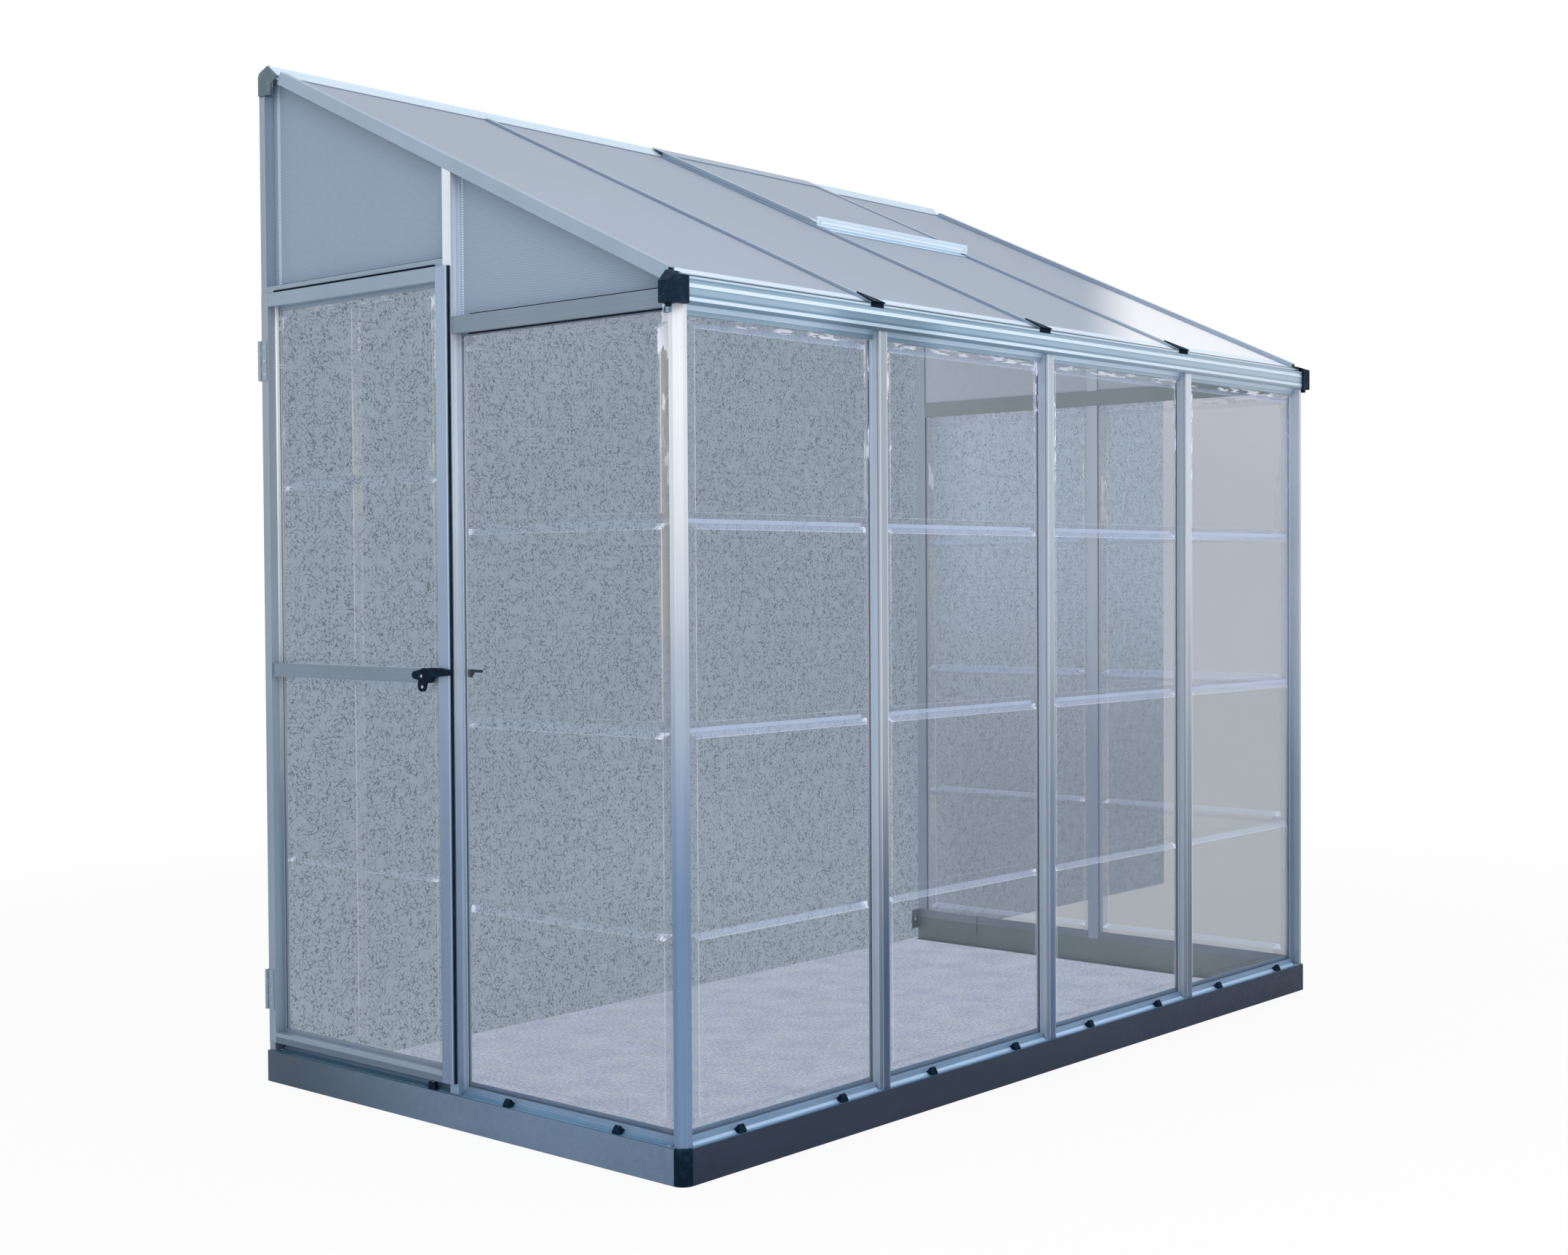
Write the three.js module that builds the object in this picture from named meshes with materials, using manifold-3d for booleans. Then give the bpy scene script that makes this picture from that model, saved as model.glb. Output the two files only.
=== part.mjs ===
// Lean-to greenhouse: an aluminium frame on a galvanised base, clear pressed wall panels, twin-wall roof
// sheets and gables, a hinged side door with a turning latch, and a roof vent held by a slotted stay.
// Millimetres. x runs right along the front, y back to the house wall, z up. Every piece is laid out from
// the outer front left corner of the base, and the whole model is then centred over its own footprint.
import * as THREE from 'three';
import { mergeVertices } from 'three/addons/utils/BufferGeometryUtils.js';
import Module from 'manifold-3d';

const wasm = await Module();
wasm.setup();

// Overall sizes
const length = 2420;
const depth = 1290;
const bay_count = 4;
const bay = length / bay_count;
const eave_height = 1670;
const eave_line = 24;
const roof_top = 2254;
const pitch = Math.atan2(roof_top - eave_height, depth - eave_line);
const gap = 0.3;
const overrun = 5;
const round_steps = 20;
const door_width = 633;
const hinge_lap = 9;
const hinge_lap_line = depth - hinge_lap;
const latch_lap_line = hinge_lap_line - door_width;
const post_lap = 5;
const side_post_line = latch_lap_line + post_lap;
const base_height = 69;
const door_clearance = 21;
const door_bottom = base_height + door_clearance;
const door_rise_share = 0.2757;
const door_top = eave_height + door_rise_share * (height_at(side_post_line, 0) - eave_height);
const door_height = door_top - door_bottom;

// Depths through a wall, measured inward from the outer face of the base
const face_inset = 6;
const box_depth = 24;
const lip = 3;
const slot = 5;
const slot_front = face_inset + box_depth;
const slot_back = slot_front + slot;
const flange_back = slot_back + lip;
const tube_wall = 2;
const web_half = 3;

// Base rails and their corner pieces
const base_wall = 2;
const ledge_width = 14;
const nose_rise = 15;
const nose_width = 2;
const knee_rise = 5;
const knee_run = 7;
const base_slot_margin = 1;
const base_slot_rise = 8;
const base_lip_rise = 23;
const foot_width = 12;
const base_nose = slot_front - base_slot_margin;
const base_back = slot_back + 2 * base_slot_margin;
const base_depth = base_back + base_wall;
const base_top = base_height + base_lip_rise;
const corner_radius = 25;
const corner_bevel = 3;
const tongue_length = 30;
const tongue_depth = 9;
const bracket_length = 224;
const bracket_bottom = 35;
const bracket_flange = 32;
const bracket_hole = 5;

// Posts and mullions
const post_half = 12.5;
const post_reach = 4;
const corner_reach = 12;
const corner_chamfer = 13;
const corner_web = 6;
const side_post_half = 13;
const wall_post_half = 10;
const wall_post_reach = 13;

// Headers over the side bays and the door
const side_header_drop = 41;
const side_header_line = eave_height - side_header_drop;
const side_header_half = 17;
const header_reach = 4;
const door_header_lift = 9;
const door_header_line = door_top + door_header_lift;
const door_header_half = 7;

// Gutter and eave bar, one extrusion
const gutter_drop = 54;
const gutter_bottom = eave_height - gutter_drop;
const gutter_height = 44;
const gutter_relief = 2;
const gutter_wall = 4;
const gutter_floor_rise = 24;
const trough_back = 22;
const upstand_wall = 2.5;
const upstand_rise = 3;
const leg_drop = 70;
const leg_bottom = eave_height - leg_drop;
const leg_slot_rise = 12;
const leg_slot_top = leg_bottom + leg_slot_rise;
const chamber_wall = 2.5;
const gutter_relief_shares = [[0, 0.02], [0, 0.25], [0.75, 0.265], [0.75, 0.285], [0.3, 0.305], [0.3, 0.59],
  [0, 0.614], [0, 0.75], [1, 0.764], [1, 0.91], [0, 0.932], [0, 1]];
const gutter_cap_outside = 20;
const gutter_cap_inside = 25;
const gutter_cap_front = 6;
const gutter_cap_back = 30;
const gutter_cap_drop = 55;
const gutter_cap_bottom = eave_height - gutter_cap_drop;
const gutter_cap_rise = 7;
const gutter_cap_top = eave_height + gutter_cap_rise;
const gutter_cap_side_fall = 22;
const gutter_cap_front_fall = 11;
const gutter_cap_corner = 16;
const spout_set = 10;
const spout_line = 14;
const spout_radius = 6;
const spout_bore = 4;
const spout_drop = 62;
const spout_bottom = eave_height - spout_drop;
const spout_mouth = 8;

// Roof sheets, rafters and rakes; heights off the roof are taken from the top face of the sheets
const sheet = 4;
const rafter_cap_half = 8;
const rafter_cap_rise = 6;
const rafter_flange_half = 12;
const rafter_flange = 2;
const rafter_box_depth = 24;
const sheet_start = 1;
const eave_seat = gap + 0.1 * sheet;
const rake_rise = 11;
const rake_drop = 16;
const rake_wall = 2;
const rake_hood = 18;
const clip_half = 19;
const clip_point = 60;
const clip_shoulder = 12;
const clip_wall = 2.7;
const clip_skirt = 14;

// Ridge bar against the house wall
const ridge_height = 63;
const ridge_width = 68;
const ridge_wall = 2;
const ridge_front = depth - ridge_width;
const ridge_run = run_at(ridge_front, 0);
const ridge_lip_lead = 0.8;
const ridge_lip_run = ridge_run - ridge_lip_lead;
const seat_lead = 7.3;
const seat_run = ridge_run - seat_lead;
const sheet_tuck = 10.7;
const sheet_end = ridge_run + sheet_tuck;
const ridge_path_shares = [[1, 0], [1, 0.7], [0.93, 0.81], [0.78, 0.873], [0.47, 1]];
const bead_radius = 2.6;
const bead_line_share = 0.441;
const bead_drop = 1.5;
const bead_off = 10;
const bead_y = ridge_front + bead_line_share * ridge_width;
const bead_z = height_at(bead_y, bead_off);
const bead_run = run_at(bead_y, bead_off);
const ridge_foot = bead_z + bead_drop - ridge_height;
const ridge_cap_wall = 2.5;
const ridge_cap_shares = [[1, 0.04], [1, 0.7], [0.93, 0.82], [0.78, 0.89], [0.47, 1.02], [0, 0.6], [0, 0.555],
  [0.34, 0.38], [0.34, 0.22], [0.4, 0.01], [0.93, 0.01]];
const ridge_plug_shares = [[0.6, 0.2], [0.95, 0.2], [0.95, 0.62], [0.6, 0.62]];
const ridge_plug_length = 14;
const roof_end_share = 0.75;

// Roof vent over the third bay
const vent_bay = 2;
const vent_setback = 605;
const vent_face_line = depth - vent_setback;
const vent_face_run = run_at(vent_face_line, 0);
const vent_face_height = 23;
const vent_face_wall = 3;
const vent_clear = 0.6;
const vent_wall = 1.8;
const vent_foot_wall = 1.1;
const vent_rail_width = 24;
const vent_bar_run = 32;
const vent_bar_end = vent_face_run + vent_bar_run;
const vent_half = bay / 2 + rafter_cap_half;
const hook_gap = 0.3;
const hook_wall = 2;
const hook_turn = 57;
const hook_steps = 8;
const jaw_drop = 2.4;
const top_rail_width = 25;
const rail_lead = 2.4;
const sill_lead = 13;
const sill_start = vent_face_run - sill_lead;
const sill_wall = 2;
const short_sheet_lap = 7;
const short_sheet_end = vent_face_run + short_sheet_lap;
const sill_upstand = 5.4;
const stay_setback = 22;
const stay_run = vent_face_run + stay_setback;
const stay_drop = 4;
const stay_offset = 14;
const stay_tilt = THREE.MathUtils.degToRad(2);
const stay_half = 9;
const stay_length = 342;
const stay_slot_half = 4.5;
const stay_travel = 317;
const stay_wall = 3;
const stay_pin = 3;
const lug_half = 7;
const lug_wall = 3;

// Pressed clear wall panels
const panel_thickness = 3;
const panel_play = 1;
const panel_depth = slot_front + panel_play;
const panel_clear = 2;
const panel_top = leg_slot_top - panel_clear;
const tray_rise = 11;
const tray_bevel = 12;
const tray_margin = 12;
const channel_width = 8;
const channel_shares = [0.25, 0.494, 0.747];

// Side door, its hinges and its latch
const door_stand = 1;
const door_front = -door_stand;
const door_back = 28.3;
const lap_back = 5.5;
const latch_stile_set = 20;
const latch_stile_line = latch_lap_line + latch_stile_set;
const latch_stile_width = 14;
const hinge_stile_set = 24;
const hinge_stile_line = hinge_lap_line - hinge_stile_set;
const hinge_stile_width = 11;
const door_lip = 2;
const door_lip_reach = 8;
const door_glass = 3;
const door_tray_rise = 9;
const top_rail_height = 29;
const bottom_rail_height = 22;
const middle_rail_height = 30;
const middle_rail_share = 0.491;
const middle_rail_bottom = door_bottom + middle_rail_share * door_height;
const middle_rail_top = middle_rail_bottom + middle_rail_height;
const middle_rail_front = 2;
const door_rib_line = latch_lap_line + door_width / 2;
const door_channel_shares = [0.253, 0.746];
const hinge_height = 88;
const hinge_low_inset = 73;
const hinge_high_inset = 103;
const hinge_bottoms = [door_bottom + hinge_low_inset, door_top - hinge_high_inset - hinge_height];
const knuckle_count = 5;
const hinge_inset = 4;
const hinge_line = depth - hinge_inset;
const hinge_out = 3;
const knuckle_radius = 4;
const hinge_pin = 2;
const hinge_plate = 24;
const hinge_plate_wall = 1.7;
const latch_backset = 47;
const latch_line = latch_lap_line + latch_backset;
const latch_lift = 20;
const latch_height = middle_rail_bottom + latch_lift;
const lever_length = 119;
const lever_wall = 6;
const lever_stand = 1.5;
const spindle_radius = 4;
const hub_radius = 8;
const knob_radius = 10;
const knob_wall = 6;
const lever_boss_shares = [[0.1, -0.03, 0.13], [0.23, -0.01, 0.105], [0.47, -0.03, 0.067], [0.28, -0.215, 0.1],
  [0.02, 0.02, 0.085], [-0.19, 0.03, 0.072], [-0.41, 0.03, 0.05]];
const lever_link_shares = [[0, 2], [1, 3], [0, 4], [4, 5], [5, 6]];
const lever_hole_shares = [[0.277, -0.045, 0.02], [0.251, -0.23, 0.022]];
const keeper_wall = 3;
const keeper_reach = 60;
const keeper_bar = 6;
const keeper_lobe = 16;
const keeper_lobe_reach = 30;
const keeper_lift = 6;
const keeper_height = latch_height + keeper_lift;
const bumper_set = 73;
const bumper_line = latch_lap_line + bumper_set;
const bumper_length = 22;
const bumper_width = 9;
const bumper_height = 15;
const bumper_bevel = 3;

// Colours and surfaces
const finishes = {
  aluminium: { color: 0xa9b0b6, roughness: 0.38, metalness: 0.9 },
  galvanised: { color: 0x8b959c, roughness: 0.45, metalness: 0.85 },
  black_plastic: { color: 0x17191b, roughness: 0.5, metalness: 0 },
  grey_plastic: { color: 0x8f9499, roughness: 0.55, metalness: 0 },
  twin_wall: { color: 0xb4bfc8, roughness: 0.35, metalness: 0, transparent: true, opacity: 0.8 },
  clear_panel: { color: 0xdde6ee, roughness: 0.12, metalness: 0, transparent: true, opacity: 0.25 },
};

const right = new THREE.Vector3(1, 0, 0);
const back = new THREE.Vector3(0, 1, 0);
const up = new THREE.Vector3(0, 0, 1);
const up_slope = new THREE.Vector3(0, Math.cos(pitch), Math.sin(pitch));
const off_roof = new THREE.Vector3(0, -Math.sin(pitch), Math.cos(pitch));

// A point of the roof frame, along the slope and off the sheets, as depth and height
function from_roof(run, off) {
  return [
    eave_line + run * Math.cos(pitch) - off * Math.sin(pitch),
    eave_height + run * Math.sin(pitch) + off * Math.cos(pitch),
  ];
}

// A depth and height as a run along the slope and a height off the sheets
function to_roof(y, z) {
  const dy = y - eave_line;
  const dz = z - eave_height;
  return [dy * Math.cos(pitch) + dz * Math.sin(pitch), dz * Math.cos(pitch) - dy * Math.sin(pitch)];
}

// The run along the slope, and the height, where a level off the sheets crosses a depth
function run_at(y, off) {
  return (y - eave_line + off * Math.sin(pitch)) / Math.cos(pitch);
}

function height_at(y, off) {
  return from_roof(run_at(y, off), off)[1];
}

// Places for sections: each is drawn flat and then carried along the third direction
function across_from(x) {
  return new THREE.Matrix4().makeBasis(back, up, right).setPosition(x, 0, 0);
}

function forward_from(y) {
  return new THREE.Matrix4().makeBasis(right, up, back.clone().negate()).setPosition(0, y, 0);
}

function up_from(z) {
  return new THREE.Matrix4().setPosition(0, 0, z);
}

function down_slope_from(run) {
  const [y, z] = from_roof(run, 0);
  return new THREE.Matrix4().makeBasis(right, off_roof, up_slope.clone().negate()).setPosition(0, y, z);
}

function roof_across_from(x) {
  return new THREE.Matrix4().makeBasis(up_slope, off_roof, right).setPosition(x, eave_line, eave_height);
}

function solid_of(geometry) {
  const bare = geometry.clone();
  bare.deleteAttribute('normal');
  bare.deleteAttribute('uv');
  const merged = mergeVertices(bare);
  return new wasm.Manifold(new wasm.Mesh({
    numProp: 3,
    vertProperties: new Float32Array(merged.attributes.position.array),
    triVerts: new Uint32Array(merged.index.array),
  }));
}

// An outline, with any holes, carried a distance along its place's third direction
function extrude(outline, run, place, holes = []) {
  const as_points = (list) => list.map(([u, v]) => new THREE.Vector2(u, v));
  const rim = as_points(outline);
  const shape = new THREE.Shape(THREE.ShapeUtils.isClockWise(rim) ? rim.reverse() : rim);
  shape.holes = holes.map((hole) => new THREE.Path(as_points(hole)));
  const geometry = new THREE.ExtrudeGeometry(shape, { depth: run, bevelEnabled: false });
  geometry.applyMatrix4(place);
  return solid_of(geometry);
}

function rectangle(u0, u1, v0, v1) {
  return [[u0, v0], [u1, v0], [u1, v1], [u0, v1]];
}

function circle(u, v, radius) {
  return Array.from({ length: round_steps }, (_, i) => {
    const turn = (2 * Math.PI * i) / round_steps;
    return [u + radius * Math.cos(turn), v + radius * Math.sin(turn)];
  });
}

function block(x0, x1, y0, y1, z0, z1) {
  return extrude(rectangle(x0, x1, y0, y1), z1 - z0, up_from(z0));
}

function roof_block(x0, x1, run0, run1, off0, off1) {
  return extrude(rectangle(run0, run1, off0, off1), x1 - x0, roof_across_from(x0));
}

function join(solids) {
  return solids.reduce((whole, piece) => whole.add(piece));
}

// A thin wall that follows a path, with its thickness laid to the left of the path
function strip(path, wall) {
  const normal = (i) => {
    const du = path[i + 1][0] - path[i][0];
    const dv = path[i + 1][1] - path[i][1];
    return new THREE.Vector2(-dv, du).normalize();
  };
  const last = path.length - 1;
  const inner = path.map(([u, v], i) => {
    const before = normal(Math.max(i - 1, 0));
    const after = normal(Math.min(i, last - 1));
    const reach = wall / (1 + before.dot(after));
    return [u + reach * (before.x + after.x), v + reach * (before.y + after.y)];
  });
  return [...path, ...inner.reverse()];
}

function scaled_shares(shares, origin_u, origin_v, width, height) {
  return shares.map(([u, v]) => [origin_u + u * width, origin_v + v * height]);
}

const group = new THREE.Group();

function show(name, geometry, finish) {
  const material = new THREE.MeshStandardMaterial({ ...finishes[finish], flatShading: true });
  const mesh = new THREE.Mesh(geometry, material);
  mesh.name = name;
  group.add(mesh);
  return mesh;
}

function geometry_of(solid) {
  const { vertProperties, triVerts } = solid.getMesh();
  const geometry = new THREE.BufferGeometry();
  geometry.setAttribute('position', new THREE.BufferAttribute(vertProperties, 3));
  geometry.setIndex(new THREE.BufferAttribute(triVerts, 1));
  geometry.computeVertexNormals();
  return geometry;
}

function add(name, solid, finish) {
  return show(name, geometry_of(solid), finish);
}

// The same piece on the right-hand side, mirrored about the middle of the front
function add_mirrored(name, solid, finish) {
  const geometry = geometry_of(solid);
  const positions = geometry.attributes.position;
  for (let i = 0; i < positions.count; i += 1) {
    positions.setX(i, length - positions.getX(i));
  }
  const corners = geometry.index.array;
  for (let i = 0; i < corners.length; i += 3) {
    [corners[i], corners[i + 1]] = [corners[i + 1], corners[i]];
  }
  geometry.computeVertexNormals();
  return show(name, geometry, finish);
}

// Section of a base rail: outer face, ledge, rounded nose, glazing slot, inner lip and foot
function base_outline() {
  const slot_floor = base_height + base_slot_rise;
  const under_slot = slot_floor - base_wall;
  const nose_top = base_height + nose_rise;
  return [
    [0, 0],
    [0, base_height],
    [ledge_width, base_height],
    [ledge_width + knee_run, base_height + knee_rise],
    [base_nose - nose_width, nose_top],
    [base_nose, nose_top],
    [base_nose, slot_floor],
    [base_back, slot_floor],
    [base_back, base_top],
    [base_depth, base_top],
    [base_depth, base_wall],
    [base_depth + foot_width, base_wall],
    [base_depth + foot_width, 0],
    [base_back, 0],
    [base_back, under_slot],
    [base_nose - nose_width, under_slot],
    [ledge_width + knee_run, base_height],
    [ledge_width, base_height - base_wall],
    [base_wall, base_height - base_wall],
    [base_wall, 0],
  ];
}

const corner_end = slot_front + corner_reach;
const rail_start = corner_radius + gap;
const mitre_reach = base_depth + foot_width + overrun;
const rail_cut_height = base_top + 2 * overrun;

// Everything of a rail above its ledge is cut away where a post stands
function rail_notch(x0, x1, y0, y1) {
  return block(x0, x1, y0, y1, base_height, base_top + overrun);
}

function make_front_rail() {
  const wedge = [[-overrun, -overrun - gap], [mitre_reach, mitre_reach - gap], [-overrun, mitre_reach]];
  const right_wedge = wedge.map(([x, y]) => [length - x, y]);
  const inward = base_depth + overrun;
  let rail = extrude(base_outline(), length - 2 * rail_start, across_from(rail_start));
  rail = rail.subtract(extrude(wedge, rail_cut_height, up_from(-overrun)));
  rail = rail.subtract(extrude(right_wedge, rail_cut_height, up_from(-overrun)));
  rail = rail.subtract(rail_notch(-overrun, corner_end + gap, -overrun, inward));
  rail = rail.subtract(rail_notch(length - corner_end - gap, length + overrun, -overrun, inward));
  const half = post_half + post_reach + gap;
  for (let i = 1; i < bay_count; i += 1) {
    rail = rail.subtract(rail_notch(i * bay - half, i * bay + half, -overrun, inward));
  }
  add('base_front', rail, 'galvanised');
}

// Angle bracket inside the rear end of a side rail, with holes to fasten it to the house wall
function rear_bracket() {
  const start = depth - bracket_length;
  const near = base_depth - base_wall / 4;
  const plate = block(near, base_depth + base_wall, start, depth, bracket_bottom, base_top);
  const flange_end = base_depth + bracket_flange;
  const flange = block(near, flange_end, depth - base_wall, depth, bracket_bottom, base_top);
  const hole_line = (bracket_bottom + base_top) / 2;
  const hole_centre = base_depth + bracket_flange / 2;
  const hole = extrude(circle(hole_centre, hole_line, bracket_hole), bracket_flange, forward_from(depth + overrun));
  return plate.add(flange).subtract(hole);
}

function make_side_rails() {
  const wedge = [[-overrun, -overrun], [mitre_reach, mitre_reach], [mitre_reach, -overrun]];
  const inward = base_depth + overrun;
  const post_end = side_post_half + post_reach + gap;
  let rail = extrude(base_outline(), depth - rail_start, forward_from(depth));
  rail = rail.subtract(extrude(wedge, rail_cut_height, up_from(-overrun)));
  rail = rail.subtract(rail_notch(-overrun, inward, -overrun, corner_end + gap));
  rail = rail.subtract(rail_notch(-overrun, inward, side_post_line - post_end, side_post_line + post_end));
  const wall_post_start = depth - 2 * wall_post_half - wall_post_reach - gap;
  rail = rail.subtract(rail_notch(-overrun, inward, wall_post_start, depth + overrun));
  rail = rail.add(rear_bracket());
  add('base_left', rail, 'galvanised');
  add_mirrored('base_right', rail, 'galvanised');
}

// Corner piece: a rounded column with a bevelled top, and a tongue up inside each rail
function make_base_corners() {
  const profile = [[0, 0], [corner_radius, 0], [corner_radius, base_height - corner_bevel],
    [corner_radius - corner_bevel, base_height], [0, base_height]];
  const lathe = new THREE.LatheGeometry(profile.map(([r, z]) => new THREE.Vector2(r, z)), 2 * round_steps);
  lathe.rotateX(Math.PI / 2);
  lathe.translate(corner_radius, corner_radius, 0);
  const square = block(0, corner_radius, 0, corner_radius, 0, base_height);
  const low = base_wall + gap;
  const high = low + tongue_depth;
  const top = base_height - base_wall - gap;
  const far = corner_radius + tongue_length;
  const tongue_front = block(corner_radius - base_wall, far, low, high, low, top);
  const tongue_side = block(low, high, corner_radius - base_wall, far, low, top);
  const corner = solid_of(lathe).intersect(square).add(tongue_front).add(tongue_side);
  add('base_corner_left', corner, 'black_plastic');
  add_mirrored('base_corner_right', corner, 'black_plastic');
}

// One side of a post or header section, from front to back, as [sideways, inward] points
function glazed_side(half, reach) {
  const lip_front = slot_front - lip;
  return [[half, face_inset], [half, lip_front], [half + reach, lip_front], [half + reach, slot_front],
    [web_half, slot_front], [web_half, slot_back], [half + reach, slot_back], [half + reach, flange_back]];
}

function door_side(half, reach) {
  return [[half, face_inset], [half, slot_front], [web_half, slot_front], [web_half, slot_back],
    [half + reach, slot_back], [half + reach, flange_back]];
}

function plain_side(half) {
  return [[half, face_inset], [half, flange_back]];
}

function bar_outline(low_side, high_side) {
  return [...low_side.map(([across, inward]) => [-across, inward]), ...high_side.slice().reverse()];
}

function bar_hole(half) {
  return rectangle(tube_wall - half, half - tube_wall, face_inset + tube_wall, slot_front - tube_wall);
}

// Moves a section to its own line, and lays it out as [inward, sideways] for the side walls
function shifted(outline, line) {
  return outline.map(([across, inward]) => [across + line, inward]);
}

function turned(outline, line) {
  return outline.map(([across, inward]) => [inward, across + line]);
}

// Posts of the front wall end under the gutter, with a step for its legs
function front_post(outline, hole) {
  const foot = base_height + gap;
  const step = leg_bottom - gap;
  const post = extrude(outline, gutter_bottom - gap - foot, up_from(foot), [hole]);
  return post.subtract(block(-length, length, eave_line - gap, corner_end + overrun, step, gutter_bottom));
}

function corner_outline() {
  const lip_front = slot_front - lip;
  const slot_bottom = slot_front + corner_web;
  const half_outline = [
    [face_inset + corner_chamfer, face_inset],
    [slot_front, face_inset],
    [slot_front, lip_front],
    [corner_end, lip_front],
    [corner_end, slot_front],
    [slot_bottom, slot_front],
    [slot_bottom, slot_back],
    [corner_end, slot_back],
    [corner_end, flange_back],
    [flange_back, flange_back],
  ];
  const mirrored = half_outline.slice(0, -1).map(([x, y]) => [y, x]).reverse();
  return [...half_outline, ...mirrored];
}

function corner_hole() {
  const low = face_inset + tube_wall;
  const high = slot_front - tube_wall;
  const cut = low + corner_chamfer - tube_wall / 2;
  return [[cut, low], [high, low], [high, high], [low, high], [low, cut]];
}

function make_front_posts() {
  const corner = front_post(corner_outline(), corner_hole());
  add('corner_post_left', corner, 'aluminium');
  add_mirrored('corner_post_right', corner, 'aluminium');
  const side = glazed_side(post_half, post_reach);
  const mullion = front_post(bar_outline(side, side), bar_hole(post_half));
  for (let i = 1; i < bay_count; i += 1) {
    add(`mullion_${i}`, mullion, 'aluminium').position.x = i * bay;
  }
}

// Posts of the side walls are cut to the slope under the rake
function under_rake(post) {
  const ridge_run = run_at(depth, 0);
  const top = roof_block(-overrun, base_depth, 0, ridge_run, -rake_drop - gap, roof_top);
  return post.subtract(top);
}

function make_side_posts() {
  const foot = base_height + gap;
  const height = roof_top - foot;
  const hole = turned(bar_hole(side_post_half), side_post_line);
  const glazed = glazed_side(side_post_half, post_reach);
  const left_outline = turned(bar_outline(glazed, door_side(side_post_half, post_reach)), side_post_line);
  add('middle_post_left', under_rake(extrude(left_outline, height, up_from(foot), [hole])), 'aluminium');
  const right_outline = turned(bar_outline(glazed, glazed), side_post_line);
  const reach = side_header_half + header_reach + gap;
  const halving = block(slot_back - gap, base_depth, 0, depth, side_header_line - reach, side_header_line + reach);
  const right_post = under_rake(extrude(right_outline, height, up_from(foot), [hole])).subtract(halving);
  add_mirrored('middle_post_right', right_post, 'aluminium');
}

const wall_post_line = depth - wall_post_half;
const knuckle_pitch = hinge_height / knuckle_count;

// Fixed half of a hinge: three knuckles, a boss to the post and the pin through all five knuckles
function fixed_knuckles(bottom) {
  const pieces = [extrude(circle(-hinge_out, hinge_line, hinge_pin), hinge_height, up_from(bottom))];
  for (let i = 0; i < knuckle_count; i += 2) {
    const start = bottom + i * knuckle_pitch;
    pieces.push(extrude(circle(-hinge_out, hinge_line, knuckle_radius), knuckle_pitch, up_from(start)));
    const boss = rectangle(-hinge_out, face_inset + tube_wall, hinge_line - hinge_out, depth);
    pieces.push(extrude(boss, knuckle_pitch, up_from(start)));
  }
  return join(pieces);
}

function make_wall_posts() {
  const foot = base_height + gap;
  const height = ridge_foot - gap - foot;
  const hole = turned(bar_hole(wall_post_half), wall_post_line);
  const plain = plain_side(wall_post_half);
  const left_outline = turned(bar_outline(door_side(wall_post_half, wall_post_reach), plain), wall_post_line);
  let left_post = extrude(left_outline, height, up_from(foot), [hole]);
  for (const bottom of hinge_bottoms) {
    left_post = left_post.add(fixed_knuckles(bottom));
  }
  add('wall_post_left', left_post, 'aluminium');
  const right_outline = turned(bar_outline(glazed_side(wall_post_half, wall_post_reach), plain), wall_post_line);
  add_mirrored('wall_post_right', extrude(right_outline, height, up_from(foot), [hole]), 'aluminium');
}

// A header between two posts: its box meets their boxes, and its lips stop short of their lips
function header_bar(outline, hole, box_start, box_end, lip_start, lip_end) {
  const bar = extrude(outline, box_end - box_start, forward_from(box_end), [hole]);
  const lip_front = slot_front - lip - gap;
  const front_cut = block(lip_front, base_depth, box_start - overrun, lip_start, 0, roof_top);
  const back_cut = block(lip_front, base_depth, lip_end, box_end + overrun, 0, roof_top);
  return bar.subtract(front_cut).subtract(back_cut);
}

function make_headers() {
  const start = flange_back + gap;
  const post_face = side_post_line - side_post_half - gap;
  const post_lip = post_face - post_reach;
  const glazed = glazed_side(side_header_half, header_reach);
  const outline = turned(bar_outline(glazed, glazed), side_header_line);
  const hole = turned(bar_hole(side_header_half), side_header_line);
  add('side_header_left', header_bar(outline, hole, start, post_face, start, post_lip), 'aluminium');
  const wall_face = wall_post_line - wall_post_half - gap;
  const wall_lip = wall_face - wall_post_reach;
  const long_bar = header_bar(outline, hole, start, wall_face, start, wall_lip);
  const post_reach_out = side_post_half + post_reach + gap;
  const crossing = block(0, slot_back, side_post_line - post_reach_out, side_post_line + post_reach_out, 0, roof_top);
  add_mirrored('side_header_right', long_bar.subtract(crossing), 'aluminium');
  const door_outline = turned(
    bar_outline(plain_side(door_header_half), glazed_side(door_header_half, header_reach)), door_header_line);
  const door_hole = turned(bar_hole(door_header_half), door_header_line);
  const door_post_face = side_post_line + side_post_half + gap;
  const door_post_lip = door_post_face + post_reach;
  const door_bar = header_bar(door_outline, door_hole, door_post_face, wall_face, door_post_lip, wall_lip);
  add('door_header', door_bar, 'aluminium');
}

// Level of the seat under the roof sheets
const seat_off = -sheet - eave_seat;

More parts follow.
